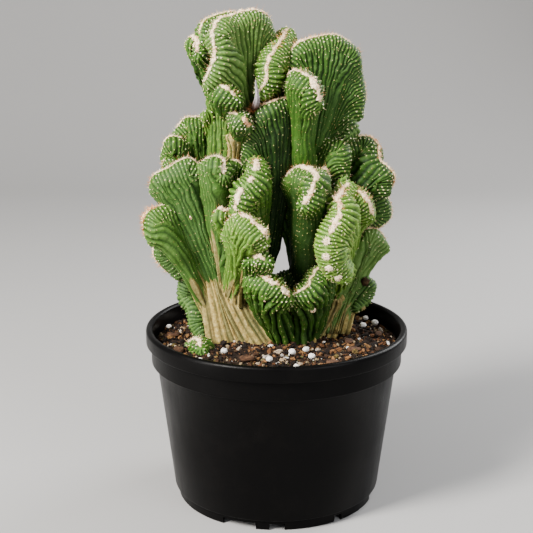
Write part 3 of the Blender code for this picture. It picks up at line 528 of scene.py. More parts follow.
def frames_along(normals, draw):
    """For each normal, three axes: two random ones across it, then the normal."""
    seed_axis = unit(draw.normal(size=normals.shape))
    first = unit(np.cross(seed_axis, normals))
    return np.stack([first, np.cross(normals, first), normals], axis=1)


def copies(template, faces, places, axes, sizes):
    """Copies of a small template mesh, each at a place, along its own axes and with its own sizes."""
    local = template[None] * sizes[:, None, :]
    points = places[:, None, :] + np.einsum("nvi,nij->nvj", local, axes)
    count = len(template)
    shifts = (np.arange(len(places)) * count)[:, None, None]
    return points.reshape(-1, 3), (faces[None] + shifts).reshape(-1, 3)


def ring_quads(rows, around, backwards=False):
    """Quads between neighbouring rings of points, row by row."""
    ring = np.arange(around)
    after = (ring + 1) % around
    low = np.arange(rows)[:, None] * around
    high = low + around
    corners = [low + ring, low + after, high + after, high + ring]
    if backwards:
        corners[1:] = corners[:0:-1]
    return np.stack(corners, axis=-1).reshape(-1, 4).tolist()


def fan(centre, around, first=0, backwards=False):
    """Triangles from a centre to the ring whose first point is given."""
    sides = [(first + i, first + (i + 1) % around) for i in range(around)]
    return [[centre, j, i] if backwards else [centre, i, j] for i, j in sides]


def tube_rings(line, first, second, wide, sides, flat=1.0):
    """Rings of points round a line: wide along the first axis, and wide times flat along the second."""
    angle = np.linspace(0, 2 * math.pi, sides, endpoint=False)
    return (
        line[:, None]
        + first[:, None] * (np.cos(angle) * wide)[:, :, None]
        + second[:, None] * (np.sin(angle) * wide * flat)[:, :, None]
    )


def cone_template(sides):
    """A closed cone of unit radius and height, with its base at the origin."""
    angles = [2 * math.pi * i / sides for i in range(sides)]
    points = np.array([*((math.cos(a), math.sin(a), 0.0) for a in angles), (0.0, 0.0, 1.0)])
    walls = [(i, (i + 1) % sides, sides) for i in range(sides)]
    base = [(0, i + 1, i) for i in range(1, sides - 1)]
    return points, np.array(walls + base)


def ball_template(subdivisions):
    bm = bmesh.new()
    bmesh.ops.create_icosphere(bm, subdivisions=subdivisions, radius=1.0)
    points = np.array([vert.co[:] for vert in bm.verts])
    faces = np.array([[vert.index for vert in face.verts] for face in bm.faces])
    bm.free()
    return points, faces


def rough_ball(subdivisions, seed, roughness):
    """A lump with flat-ish facets: a ball whose points are pushed in and out."""
    template, faces = ball_template(subdivisions)
    draw = np.random.default_rng(seed)
    return template * (1 + draw.normal(scale=roughness, size=(len(template), 1))), faces


class Heap:
    """Gathers small meshes, with a tint for each point, into one piece."""

    def __init__(self):
        self.points = []
        self.faces = []
        self.tints = []
        self.count = 0

    def add(self, points, faces, tints):
        """Adds a mesh. The tints are one for each point, or one for each of its equal parts."""
        faces = faces if isinstance(faces, list) else faces.tolist()
        self.points.append(points)
        self.faces += [[corner + self.count for corner in face] for face in faces]
        self.tints.append(np.repeat(np.clip(tints, 0, 1), len(points) // max(1, len(tints))))
        self.count += len(points)

    def scatter(self, template, places, axes, sizes, tints):
        """Adds copies of a template, as copies() makes them, with a tint for each copy."""
        self.add(*copies(*template, places, axes, sizes), tints)

    def cones(self, places, axes, lengths, radius, tints):
        """Adds thin three-sided cones that point along the last of their axes."""
        wide = np.full(len(places), radius)
        self.scatter(cone_template(3), places, axes, np.stack([wide, wide, lengths], axis=-1), tints)

    def build(self, name, surface, slot, node, smooth=True):
        """Makes the piece, and dresses it as part of a CAD node."""
        obj = mesh_object(name, np.vstack(self.points), self.faces, surface, smooth)
        paint(obj, "tint", np.concatenate(self.tints))
        dress(obj, slot, node)


# ---------------------------------------------------------------- materials


class Nodes:
    """Short calls for building one material's nodes."""

    def __init__(self, name, roughness, specular):
        self.material = bpy.data.materials.new(name)
        self.material.use_nodes = True
        self.tree = self.material.node_tree
        self.shader = self.tree.nodes["Principled BSDF"]
        self.shader.inputs["Roughness"].default_value = roughness
        self.shader.inputs["Specular IOR Level"].default_value = specular

    def feed(self, socket, value):
        """Links the socket to a node's output, or sets it to a plain value."""
        if isinstance(value, bpy.types.NodeSocket):
            self.tree.links.new(value, socket)
        else:
            socket.default_value = value

    def put(self, kind, **inputs):
        """A node whose inputs are named with _ for each space."""
        node = self.tree.nodes.new(kind)
        for name, value in inputs.items():
            self.feed(node.inputs[name.replace("_", " ")], value)
        return node

    def place(self):
        return self.tree.nodes.new("ShaderNodeTexCoord").outputs["Object"]

    def stretched(self, scale):
        """The place, scaled along each axis."""
        return self.put("ShaderNodeMapping", Vector=self.place(), Scale=scale).outputs["Vector"]

    def painted(self, name, output):
        """The values that paint() stored on the piece."""
        node = self.tree.nodes.new("ShaderNodeAttribute")
        node.attribute_name = name
        return node.outputs[output]

    def channels(self, name):
        split = self.put("ShaderNodeSeparateColor", Color=self.painted(name, "Color"))
        return split.outputs[0], split.outputs[1], split.outputs[2]

    def noise(self, scale, detail=3.0, roughness=0.55, vector=None):
        vector = vector or self.place()
        node = self.put("ShaderNodeTexNoise", Vector=vector, Scale=scale, Detail=detail, Roughness=roughness)
        return node.outputs["Fac"]

    def math(self, operation, first, second, clamp=False):
        node = self.tree.nodes.new("ShaderNodeMath")
        node.operation = operation
        node.use_clamp = clamp
        self.feed(node.inputs[0], first)
        self.feed(node.inputs[1], second)
        return node.outputs[0]

    def times(self, first, second):
        return self.math("MULTIPLY", first, second)

    def mix(self, factor, first, second, blend="MIX"):
        """Two colours, each a socket or three numbers, mixed by the factor."""
        node = self.tree.nodes.new("ShaderNodeMix")
        node.data_type = "RGBA"
        node.blend_type = blend
        self.feed(node.inputs[0], factor)
        for index, colour in ((6, first), (7, second)):
            self.feed(node.inputs[index], (*colour, 1.0) if isinstance(colour, tuple) else colour)
        return node.outputs[2]

    def ramp(self, factor, stops):
        """A colour ramp from (position, colour) stops."""
        node = self.put("ShaderNodeValToRGB", Fac=factor)
        points = node.color_ramp.elements
        while len(points) < len(stops):
            points.new(0.5)
        for point, (position, colour) in zip(points, stops):
            point.position = position
            point.color = (*colour, 1.0)
        return node.outputs["Color"]

    def span(self, value, low, high, to_low=0.0, to_high=1.0):
        """A value from low to high, moved to run from to_low to to_high and clamped there."""
        limits = {"From_Min": low, "From_Max": high, "To_Min": to_low, "To_Max": to_high}
        return self.put("ShaderNodeMapRange", Value=value, **limits).outputs["Result"]

    def bump(self, height, distance):
        node = self.put("ShaderNodeBump", Height=height, Distance=distance, Strength=1.0)
        self.feed(self.shader.inputs["Normal"], node.outputs["Normal"])

    def colour(self, socket):
        self.feed(self.shader.inputs["Base Color"], socket)

    def rough(self, socket):
        self.feed(self.shader.inputs["Roughness"], socket)


def mottled_material(name, roughness, specular, noise, stops, relief=None):
    """A plain material whose colour follows a noise. The relief is a noise and its height in metres."""
    n = Nodes(name, roughness, specular)
    n.colour(n.ramp(n.noise(*noise), stops))
    if relief:
        n.bump(n.noise(*relief[0]), relief[1])
    return n.material


def tinted_material(name, roughness, specular, stops, speckle=None, relief=None, blend="MIX"):
    """A material whose colour follows the tint of each point, with speckles of a second colour.

    The speckle is a noise, the values where it starts and is full, its greatest share, and its colour.
    """
    n = Nodes(name, roughness, specular)
    colour = n.ramp(n.painted("tint", "Fac"), stops)
    if speckle:
        noise, start, full, share, second = speckle
        colour = n.mix(n.span(n.noise(*noise), start, full, 0.0, share), colour, second, blend)
    n.colour(colour)
    if relief:
        n.bump(n.noise(*relief[0]), relief[1])
    return n.material


# Colours of the skin from furrow to rib top, dark in the furrows as painted shade: usual, near the crest,
# and of the pale yellow lobes
GREEN_AND_FURROW_SHADE = ((0.12, (0.002, 0.011, 0.001)), (0.55, (0.013, 0.050, 0.003)), (0.90, (0.046, 0.120, 0.012)))
YOUNG_AND_FURROW_SHADE = ((0.10, (0.009, 0.036, 0.002)), (0.55, (0.046, 0.116, 0.010)), (0.90, (0.150, 0.260, 0.046)))
YELLOW_AND_FURROW_SHADE = ((0.10, (0.022, 0.060, 0.003)), (0.6, (0.110, 0.215, 0.024)), (0.90, (0.215, 0.335, 0.062)))

# Colours of the corky fibre: on top of the strands, and between them, greenish and dark there, partly
# painted shade
FIBRE = ((0.32, (0.188, 0.119, 0.031)), (0.50, (0.375, 0.269, 0.078)), (0.68, (0.560, 0.455, 0.195)))
FIBRE_GAPS_AND_SHADE = ((0.35, (0.052, 0.032, 0.011)), (0.65, (0.050, 0.062, 0.020)))

SPINE_COLOURS = (
    (0.0, (0.16, 0.05, 0.02)), (0.35, (0.58, 0.19, 0.03)),
    (0.65, (0.72, 0.40, 0.16)), (1.0, (0.88, 0.74, 0.52)),
)
FLOWER_COLOURS = (
    (0.0, (0.06, 0.018, 0.012)), (0.35, (0.20, 0.11, 0.08)),
    (0.6, (0.24, 0.20, 0.21)), (1.0, (0.36, 0.33, 0.35)),
)
AREOLE_COLOURS = (
    (0.0, (0.26, 0.14, 0.05)), (0.3, (0.52, 0.44, 0.16)),
    (0.65, (0.80, 0.73, 0.44)), (1.0, (0.98, 0.92, 0.80)),
)
# Dead brown skin, near-black as painted shade of a hollow
DEAD_SKIN_AND_HOLLOW_SHADE_COLOURS = ((0.35, (0.010, 0.006, 0.003)), (0.60, (0.045, 0.026, 0.012)), (0.75, (0.16, 0.09, 0.05)))
PEAT_COLOURS = (
    (0.25, (0.0027, 0.0018, 0.0014)),
    (0.5, (0.0126, 0.0072, 0.0045)),
    (0.75, (0.0383, 0.0203, 0.0108)),
)
PERLITE_COLOURS = ((0.3, (0.50, 0.44, 0.36)), (0.45, (0.74, 0.71, 0.66)), (0.7, (0.88, 0.86, 0.83)))
BARK_COLOURS = (
    (0.3, (0.0135, 0.0063, 0.0036)),
    (0.5, (0.054, 0.0234, 0.0108)),
    (0.7, (0.135, 0.0675, 0.0315)),
)


def flesh_material():
    """Green skin: lighter on rib tops and near the crest, dark in furrows as painted shade, tan and fibrous
    where corky.
    """
    n = Nodes("cactus_skin", 0.55, 0.15)
    rib, crest, cork = n.channels("relief")
    pale, shade, grey = n.channels("tone_and_painted_light")
    patch = n.noise(55.0, 4.0)
    fine = n.noise(900.0, 3.0)
    top = n.mix(patch, (0.034, 0.096, 0.006), (0.052, 0.128, 0.010))
    # From dark furrow to light rib top: the dark furrows are painted shade
    green = n.mix(n.times(rib, 0.5), n.ramp(rib, GREEN_AND_FURROW_SHADE), top)
    green = n.mix(n.times(crest, 0.75), green, n.ramp(rib, YOUNG_AND_FURROW_SHADE))
    # Pale yellow skin, partly painted light on lobes that are lit brighter
    green = n.mix(pale, green, n.ramp(rib, YELLOW_AND_FURROW_SHADE))
    # Painted shade: lobes and stems that lie in shade are mixed towards near-black green
    green = n.mix(n.times(shade, 0.75), green, (0.003, 0.012, 0.002))
    bloom = n.span(n.noise(140.0, 5.0), 0.50, 0.75, 0.0, 0.22)
    dusty = n.math("ADD", bloom, n.times(grey, 0.5), clamp=True)
    green = n.mix(n.times(dusty, n.span(rib, 0.1, 0.8)), green, (0.080, 0.125, 0.058))
    freckle = n.span(fine, 0.62, 0.72, 0.0, 0.30)
    green = n.mix(freckle, green, (0.078, 0.145, 0.026))
    fibre = n.noise(420.0, 6.0, 0.7)
    tan = n.mix(n.times(crest, 0.85), n.ramp(fibre, FIBRE), (0.120, 0.130, 0.050))
    scab = n.span(n.noise(70.0, 5.0), 0.64, 0.70, 0.0, 0.75)
    tan = n.mix(scab, tan, (0.360, 0.150, 0.040))
    # Between the strands the fibre is dark: greenish gaps, partly painted shade
    tan = n.mix(n.span(rib, 0.25, 0.80, 0.95, 0.0), tan, n.ramp(n.noise(90.0, 3.0), FIBRE_GAPS_AND_SHADE))
    ragged = n.math("ADD", cork, n.times(n.math("SUBTRACT", n.noise(160.0, 5.0), 0.5), 0.5))
    n.colour(n.mix(n.span(ragged, 0.35, 0.62), green, tan))
    n.rough(n.span(ragged, 0.3, 0.7, 0.55, 0.85))
    n.bump(n.math("ADD", fine, n.times(fibre, cork)), 0.00045)
    return n.material


def wool_material():
    n = Nodes("crest_wool", 0.95, 0.1)
    shade = n.math("ADD", n.times(n.painted("tint", "Fac"), 0.6), n.times(n.noise(500.0, 5.0), 0.4))
    stops = (
        (0.10, (0.085, 0.028, 0.012)),
        (0.24, (0.46, 0.18, 0.075)),
        (0.38, (0.76, 0.46, 0.26)),
        (0.54, (0.94, 0.72, 0.45)),
        (0.80, (0.98, 0.86, 0.63)),
    )
    n.colour(n.ramp(shade, stops))
    n.bump(n.noise(1400.0, 4.0), 0.0006)
    return n.material


def dead_skin_and_hollow_shade_material():
    return mottled_material("dead_skin_and_hollow_shade", 0.9, 0.1, (600.0, 4.0), DEAD_SKIN_AND_HOLLOW_SHADE_COLOURS)


def areole_material():
    return tinted_material("areole_wool", 0.9, 0.15, AREOLE_COLOURS, relief=((2500.0, 2.0), 0.0002))


def spine_material():
    faded = ((700.0,), 0.45, 0.75, 0.6, (0.62, 0.36, 0.16))
    return tinted_material("spines", 0.45, 0.4, SPINE_COLOURS, faded)


def grit_material():
    """Each chip of the soil has its own tint: peat, bark, tan and orange chips, moss and perlite."""
    stops = (
        (0.0, (0.0054, 0.0036, 0.0027)),
        (0.30, (0.0158, 0.009, 0.0059)),
        (0.52, (0.0383, 0.0189, 0.0099)),
        (0.66, (0.110, 0.044, 0.016)),
        (0.76, (0.240, 0.115, 0.042)),
        (0.84, (0.0518, 0.0563, 0.0126)),
        (0.90, (0.340, 0.240, 0.140)),
        (0.97, (0.72, 0.69, 0.64)),
    )
    dust = ((700.0, 5.0), 0.35, 0.7, 0.6, (0.009, 0.0059, 0.004))
    return tinted_material("soil_grit", 0.92, 0.2, stops, dust, ((1100.0, 5.0), 0.0007), "MULTIPLY")


def peat_material():
    return mottled_material("peat", 0.96, 0.15, (350.0, 8.0, 0.7), PEAT_COLOURS, ((600.0, 6.0), 0.0015))


def perlite_material():
    return mottled_material("perlite", 0.9, 0.3, (600.0, 5.0), PERLITE_COLOURS, ((1300.0, 4.0), 0.0009))


def bark_material():
    n = Nodes("bark", 0.9, 0.25)
    grain = n.noise(450.0, 7.0, 0.7, n.stretched((1.0, 1.0, 4.0)))
    n.colour(n.ramp(grain, BARK_COLOURS))
    n.bump(grain, 0.0008)
    return n.material


def plastic_material():
    """Satin black plastic with fine dust and faint moulding streaks."""
    n = Nodes("pot_plastic", 0.36, 0.06)
    dust = n.span(n.noise(60.0, 7.0, 0.65), 0.5, 0.85, 0.0, 0.5)
    n.colour(n.mix(dust, (0.0012, 0.0011, 0.0011), (0.0040, 0.0034, 0.0030)))
    scuffs = n.noise(240.0, 5.0, 0.6, n.stretched((1.0, 1.0, 0.05)))
    n.rough(n.span(n.math("ADD", scuffs, n.noise(35.0, 3.0)), 0.7, 1.3, 0.27, 0.40))
    n.bump(n.noise(900.0, 3.0), 0.00006)
    return n.material


def papery_material():
    dust = ((900.0, 5.0), 0.3, 0.7, 0.7, (0.15, 0.11, 0.11))
    return tinted_material("dried_flower", 0.8, 0.25, FLOWER_COLOURS, dust, ((1500.0, 3.0), 0.0003))


def floor_material():
    n = Nodes("pale_floor", 0.75, 0.25)
    n.colour(n.mix(n.noise(3.0, 2.0), (0.297, 0.2925, 0.288), (0.315, 0.3105, 0.306)))
    return n.material


# ---------------------------------------------------------------- lobes


def read_along(known, at, wanted):
    """Vectors known at some places along a line, read off at the wanted places."""
    return np.stack([np.interp(wanted, at, known[:, axis]) for axis in range(3)], axis=-1)


def curve_through(points, count):
    """Evenly spaced points along the Catmull-Rom curve through the given points, and its length."""
    known = np.vstack([2 * points[0] - points[1], points, 2 * points[-1] - points[-2]])
    t = np.linspace(0, 1, CURVE_STEPS, endpoint=False)[:, None]
    pieces = []
    for a, b, c, d in zip(known, known[1:], known[2:], known[3:]):
        bend = (2 * a - 5 * b + 4 * c - d) * t**2 + (3 * b - a - 3 * c + d) * t**3
        pieces.append((2 * b + (c - a) * t + bend) / 2)
    fine = np.vstack([*pieces, points[-1:]])
    along = np.concatenate([[0.0], np.cumsum(np.linalg.norm(np.diff(fine, axis=0), axis=1))])
    return read_along(fine, along, np.linspace(0.0, along[-1], count)), along[-1]


def thickness(shape, count):
    """Half thickness of a lobe at each column: thinner towards both ends of its crest."""
    swell = np.sin(math.pi * np.linspace(0, 1, count)) ** 0.6
    return shape["half"] * (END_THICKNESS + (1 - END_THICKNESS) * swell)[:, None]


def row_places(length, far_step):
    """Places from root (0) to top (1): close together near the crest, wider apart towards the root."""
    down = [0.0]
    while down[-1] < length:
        widened = min(1.0, max(0.0, (down[-1] - MIDDLE_ROWS) / ROWS_WIDEN))
        far = MIDDLE_STEP + (far_step - MIDDLE_STEP) * widened
        down.append(down[-1] + (NEAR_STEP if down[-1] < NEAR_ROWS else far))
    return 1 - np.array(down[::-1]) / down[-1]


def eased(vectors, reach):
    """Vectors along a curve, each blended with its neighbours out to the given number of steps."""
    weights = np.hanning(2 * reach + 3)[1:-1]
    weights /= weights.sum()
    padded = np.pad(vectors, ((reach, reach), (0, 0)), mode="edge")
    return np.stack([np.convolve(padded[:, axis], weights, "valid") for axis in range(3)], axis=-1)


def growth_at_crest(crest, neck):
    """Directions in which the lobe reaches its crest: from the neck, turned nearly square to the crest."""
    straight = unit(crest - neck)
    along = unit(np.gradient(crest, axis=0))
    square = unit(straight - along * (straight * along).sum(1, keepdims=True))
    spacing = np.linalg.norm(np.diff(crest, axis=0), axis=1).mean()
    return unit(eased(straight + SQUARE_GROWTH * (square - straight), max(1, round(GROWTH_EASE / spacing))))


def growth_sheet(shape, crest):
    """Mid surface from root to crest as rows of points, with the directions up, along and out of it."""
    neck = shape["neck"] + shape["spread"] * (crest - crest.mean(0))
    if shape["reach"]:
        up_at_top = np.tile(unit(np.array(shape["aim"])), (len(crest), 1))
    else:
        up_at_top = growth_at_crest(crest, neck)
    top = crest - up_at_top * thickness(shape, len(crest))
    across = np.linspace(-1, 1, len(crest))[:, None] * shape["root_width"] * unit(crest[-1] - crest[0])
    root = shape["root"] + across
    lower = neck if shape["reach"] else root + (neck - root) * 2 / 3
    above = np.linalg.norm(top - neck, axis=1)
    bend = shape["reach"] or np.minimum(0.6 * above, LONGEST_BEND)[:, None]
    upper = top - up_at_top * bend
    length = above.mean() + np.linalg.norm(neck - root, axis=1).mean()
    v = row_places(length, MIDDLE_STEP if shape["name"] in KNOBBLY else FAR_STEP)[:, None, None]
    sheet = (1 - v) ** 3 * root + 3 * v * (1 - v) ** 2 * lower + 3 * v**2 * (1 - v) * upper + v**3 * top
    up = unit((1 - v) ** 2 * (lower - root) + 2 * v * (1 - v) * (upper - lower) + v**2 * (top - upper))
    out = unit(np.cross(unit(np.gradient(sheet, axis=1)), up))
    return sheet, up, unit(np.cross(up, out)), out


def ring_walk(columns, cap):
    """Column and turning angle of each point round a ring: front, one end, back, other end."""
    front = [(column, 0.0) for column in range(columns)]
    end = [(columns, math.pi * step / cap) for step in range(cap)]
    back = [(columns - column, math.pi) for column in range(columns)]
    start = [(0, math.pi + math.pi * step / cap) for step in range(cap)]
    walk = front + end + back + start
    return np.array([column for column, _ in walk]), np.array([angle for _, angle in walk])


def rib_pitch(name):
    """Width of one rib at the crest, in mm."""
    if name in FIBROUS:
        return FIBRE_PITCH
    return BACK_PITCH if name.startswith("back_") else RIB_PITCH


def smooth_lobe(shape):
    """Rings of points, their outward directions, the column of each, and how far each ring rounds over."""
    _, length = curve_through(shape["crest"], 40)
    pitch = rib_pitch(shape["name"])
    end_length = math.pi * shape["half"] * END_THICKNESS
    ribs = 4 * max(2, round((length + end_length) / pitch / 4))
    columns = min(ribs - 2, max(2, round(ribs * length / (length + end_length)))) * RIB_POINTS
    cap = ribs * RIB_POINTS - columns
    crest, _ = curve_through(shape["crest"], columns + 1)
    sheet, up, along, out = growth_sheet(shape, crest)
    rows = len(sheet) - 1
    at, angle = ring_walk(columns, cap)
    angle = angle[None, :, None]
    side = np.cos(angle) * out[:, at] + np.sin(angle) * along[:, at]
    grown = smooth_step(np.linspace(0, 1.15, rows + 1))[:, None, None]
    half = shape["root_half"] + (thickness(shape, columns + 1)[at] - shape["root_half"]) * grown
    rings = [sheet[:, at] + side * half]
    outward = [side]
    turns = np.linspace(0, math.pi / 2, max(3, round(math.pi * shape["half"] / 2 / NEAR_STEP)) + 1)[1:]
    for turn in turns:
        direction = math.cos(turn) * side[-1:] + math.sin(turn) * up[-1:, at]
        rings.append(sheet[-1:, at] + half[-1:] * direction)
        outward.append(direction)
    round_over = np.concatenate([np.zeros(rows + 1), turns])
    return np.vstack(rings), np.vstack(outward), at, round_over


def knob_phase(distance):
    """Knobs counted from the crest: close together near it, wider apart further down."""
    return distance / AREOLE_STEP + CREST_KNOBS * (1 - np.exp(-distance / 8.0))


def rib_shares(pitch, from_crest, name):
    """How far the ribs at each point are single, in pairs, in fours or in eights, as they crowd together."""
    wider = THICK_FOLDS.get(name, USUAL_FOLDS)
    least = MERGE_PITCH + wider * smooth_step((from_crest - MERGE_START) / MERGE_REACH)
    left = np.ones_like(pitch)
    shares = []
    for group in RIB_GROUPS[:-1]:
        share = left * smooth_step((group * pitch - least) / MERGE_FADE)
        shares.append(share)
        left = left - share
    return [*shares, left]


def rib_relief(name, points, round_over, cork):
    """Height of the skin at each point: knobbly ribs side by side that merge where the lobe narrows."""
    around = points.shape[1]
    rows = np.linalg.norm(np.diff(points, axis=0), axis=2)
    from_crest = np.vstack([np.zeros((1, around)), np.cumsum(rows[::-1], axis=0)])[::-1]
    pitch = np.linalg.norm(np.roll(points, -1, 1) - points, axis=2) * RIB_POINTS
    for _ in range(2):
        pitch = (pitch + np.roll(pitch, 1, 1) + np.roll(pitch, -1, 1)) / 3
    place = np.arange(around)
    fade = np.cos(np.minimum(round_over, 1.5))[:, None] ** 0.5
    heights = np.zeros_like(pitch)
    crown = np.zeros_like(pitch)
    near, far, reach = RELIEF.get(name, USUAL_RELIEF)
    deep = RIB_DEPTH * (far + (near - far) * np.exp(-((from_crest / reach) ** 2)))
    swell = 0.30 + 0.45 * np.exp(-from_crest / 14.0)
    for share, group in zip(rib_shares(pitch, from_crest, name), RIB_GROUPS):
        profile = np.abs(np.sin(math.pi * place / RIB_POINTS / group)) ** 0.8
        odd = place // (RIB_POINTS * group) % 2
        knob = np.maximum(0, np.cos(2 * math.pi * (knob_phase(from_crest) + 0.5 * odd))) ** 2 * (1 - cork)
        depth = deep * np.minimum(pitch * group, WIDEST_RIB) * fade
        heights += share * depth * (profile - 0.6 + swell * knob * profile)
        # crown runs from furrow to rib top, and the skin's colour follows it, dark in the furrows as painted
        # shade
        crown += share * profile * (0.70 + 0.30 * knob)
    flat = np.clip(deep / RIB_DEPTH, 0, 1)
    shown = 0.62 * (1 - flat) + crown * flat
    return heights, shown, from_crest, pitch


def fibre_straps(around, index):
    """Straps of fibre of uneven width side by side.

    Gives the height of each point, how green each strap is, and how far it reaches up or stops short.
    """
    draw = np.random.default_rng(index + 800)
    height, green, extra = np.zeros(around), np.zeros(around), np.zeros(around)
    start = 0
    while start < around:
        width = int(draw.integers(*STRAP_WIDTHS))
        strap = slice(start, min(around, start + width))
        across = (np.arange(strap.stop - strap.start) + 0.5) / width
        height[strap] = np.sin(math.pi * across) ** 0.7 * draw.uniform(0.7, 1.1)
        green[strap] = draw.random() ** 1.3
        extra[strap] = draw.normal(0, 0.6)
        start += width
    return height, green, extra + 0.9 * (height - 0.5)


def fibre_height(smooth, from_crest, straps, index):
    """Strands of fibre that run from root to crest along the straps, from about -1 to 1."""
    place = np.broadcast_to(np.arange(smooth.shape[1]) * FIBRE_PITCH / RIB_POINTS, from_crest.shape)
    flow = np.stack([place, from_crest * 0.05, np.zeros_like(from_crest)], axis=-1)
    strands = layered(flow, [STRANDS], index) + layered(smooth, [STRAND_WARP], index)
    return 1.7 * straps - 1.0 + strands


def lobe_faces(levels, around, at):
    """Quads between the rings, closed on the crest line above and by a fan at the root."""
    faces = ring_quads(levels - 2, around)
    last = (levels - 2) * around
    line = last + around
    for i in range(around):
        j = (i + 1) % around
        corners = [last + i, last + j, line + int(at[j]), line + int(at[i])]
        faces.append(corners[:3] if at[i] == at[j] else corners)
    return faces + fan(line + int(at.max()) + 1, around, backwards=True)


def joined(rings, crest, first=0):
    """Values on the rings from the given one up, then on the crest line, then at the middle of the root."""
    return np.concatenate([rings[first:-1].reshape(-1, *crest.shape[1:]), crest, rings[first].mean(0)[None]])


def grow_lobe(shape, index):
    """Shapes one lobe and keeps what its skin, areoles, wool and spines need."""
    name = shape["name"]
    smooth, outward, at, round_over = smooth_lobe(shape)
    level, fade = CORK.get(name, NO_CORK)
    straps, green, tongues = fibre_straps(smooth.shape[1], index)
    cork = smooth_step((level - smooth[:, :, 2]) / fade + 0.5 + tongues)
    heights, crown, from_crest, pitch = rib_relief(name, smooth, round_over, cork)
    strands = fibre_height(smooth, from_crest, straps, index)
    straight = 1 - CORK_STRAIGHTNESS * cork
    lumps = layered(smooth, LUMPS, index) * (smooth_step(from_crest / 6.0) * straight)
    heights += lumps + FIBRE_DEPTH * cork * strands
    crown = crown * (1 - cork) + cork * np.clip(0.55 + 0.50 * strands, 0, 1)
    round_ring = unit(np.roll(smooth, -1, 1) - np.roll(smooth, 1, 1))
    wander = waves(smooth, 11.0, index + 300) * smooth_step(from_crest / 8.0)
    drift = RIB_WANDER * wander * np.minimum(pitch / RIB_PITCH, 1.0) * straight
    points = smooth + outward * heights[:, :, None] + round_ring * drift[:, :, None]
    crest = np.zeros((int(at.max()) + 1, 3))
    np.add.at(crest, at, points[-1])
    crest /= np.bincount(at)[:, None]
    return {
        "name": name,
        "index": index,
        "at": at,
        "points": points,
        "outward": outward,
        "from_crest": from_crest,
        "pitch": pitch,
        "cork": cork,
        "green": np.broadcast_to(green, cork.shape),
        "crown": np.clip(crown, 0, 1),
        "crest": crest,
        "rise": outward[-1][np.unique(at, return_index=True)[1]],
    }


def skin_tree(lobes):
    """A search tree over the skin of all lobes, in metres."""
    points = []
    faces = []
    shift = 0
    for grown in lobes:
        body = joined(grown["points"], grown["crest"])
        points.append(body * MM)
        sides = lobe_faces(*grown["points"].shape[:2], grown["at"])
        faces += [[corner + shift for corner in side] for side in sides]
        shift += len(body)
    return BVHTree.FromPolygons(np.vstack(points).tolist(), faces)


def outside_only(places, directions, skin, margin=SKIN_MARGIN):
    """Which places aren't covered by another lobe: a ray outwards must not leave one from inside."""
    keep = np.ones(len(places), bool)
    for i, (place, direction) in enumerate(zip(places, directions)):
        start = Vector(place * MM) + Vector(direction) * margin * MM
        _, normal, _, _ = skin.ray_cast(start, Vector(direction), COVER_REACH * MM)
        if normal is not None and normal.dot(Vector(direction)) > 0:
            keep[i] = False
    return keep


def buried_rings(grown, skin):
    """How many rings, from the root up, lie wholly inside other lobes or under the soil."""
    rings = zip(grown["points"][:, ::RIB_POINTS], grown["outward"][:, ::RIB_POINTS])
    for level, (ring, out) in enumerate(rings):
        above = ring[:, 2] > SOIL_EDGE - SOIL_COVER
        if outside_only(ring[above], out[above], skin, RING_MARGIN).any():
            return max(0, level - 2)
    return 0


def build_lobe(grown, skin, surface):
    """Makes the lobe's mesh, from the last buried ring up, with its shades for the skin material."""
    first = buried_rings(grown, skin)
    crest, at = grown["crest"], grown["at"]
    levels, around = grown["points"].shape[:2]
    body = joined(grown["points"], crest, first)
    obj = mesh_object("cactus_" + grown["name"], body, lobe_faces(levels - first, around, at), surface)
    cork = grown["cork"]
    second = np.exp(-grown["from_crest"] / 9.0) * (1 - cork) + grown["green"] * cork
    relief = np.stack([grown["crown"], second, cork], axis=-1)
    paint(obj, "relief", joined(relief, np.tile([0.8, 1.0, 0.0], (len(crest), 1)), first))
    # Painted shade: the second value darkens lobes that lie in shade, the fourth darkens the skin more the
    # further it is below the crest; the first, pale yellow skin, is partly painted light on lobes lit
    # brighter
    pale, shade, grey, stem_painted_shade = TONE_AND_PAINTED_LIGHT.get(grown["name"], USUAL_TONE_AND_PAINTED_LIGHT)
    distance = joined(grown["from_crest"], np.zeros(len(crest)), first)
    shade = shade + stem_painted_shade * smooth_step((distance - 7.0) / 16.0)
    uneven = 1 + 0.35 * waves(body, 14.0, grown["index"] + 200)
    tone_and_painted_light = np.stack([np.full(len(body), pale), shade, np.full(len(body), grey)], axis=-1)
    paint(obj, "tone_and_painted_light", np.clip(tone_and_painted_light * uneven[:, None], 0, 1))
    dress(obj, *PLANT)


# ---------------------------------------------------------------- wool, areoles and spines


def areole_places(grown):
    """Points on the rib tops, at every knob along each rib."""
    points, outward, from_crest = grown["points"], grown["outward"], grown["from_crest"]
    found = []
    for share, group in zip(rib_shares(grown["pitch"], from_crest, grown["name"]), RIB_GROUPS):
        width = RIB_POINTS * group
        for rib, place in enumerate(range(width // 2, points.shape[1], width)):
            run = knob_phase(from_crest[:, place][::-1])
            first = 0.5 if rib % 2 else 1.0
            for wanted in np.arange(first, run[-1] - 0.3, 1.0):
                level = len(run) - 1 - int(np.searchsorted(run, wanted))
                if share[level, place] > 0.5:
                    found.append((level, place, place + width % 2))
    if not found or grown["name"] in FIBROUS:
        return np.zeros((0, 3)), np.zeros((0, 3)), np.zeros(0), np.zeros(0), np.zeros(0)
    levels, places, beside = np.array(found).T
    tops = (points[levels, places] + points[levels, beside]) / 2
    share = np.full(len(tops), FEW_AREOLES.get(grown["name"], 1.0))
    return tops, outward[levels, places], from_crest[levels, places], grown["cork"][levels, places], share


def surface_lean(normals, draw, amount):
    return unit(normals + draw.normal(scale=amount, size=normals.shape))


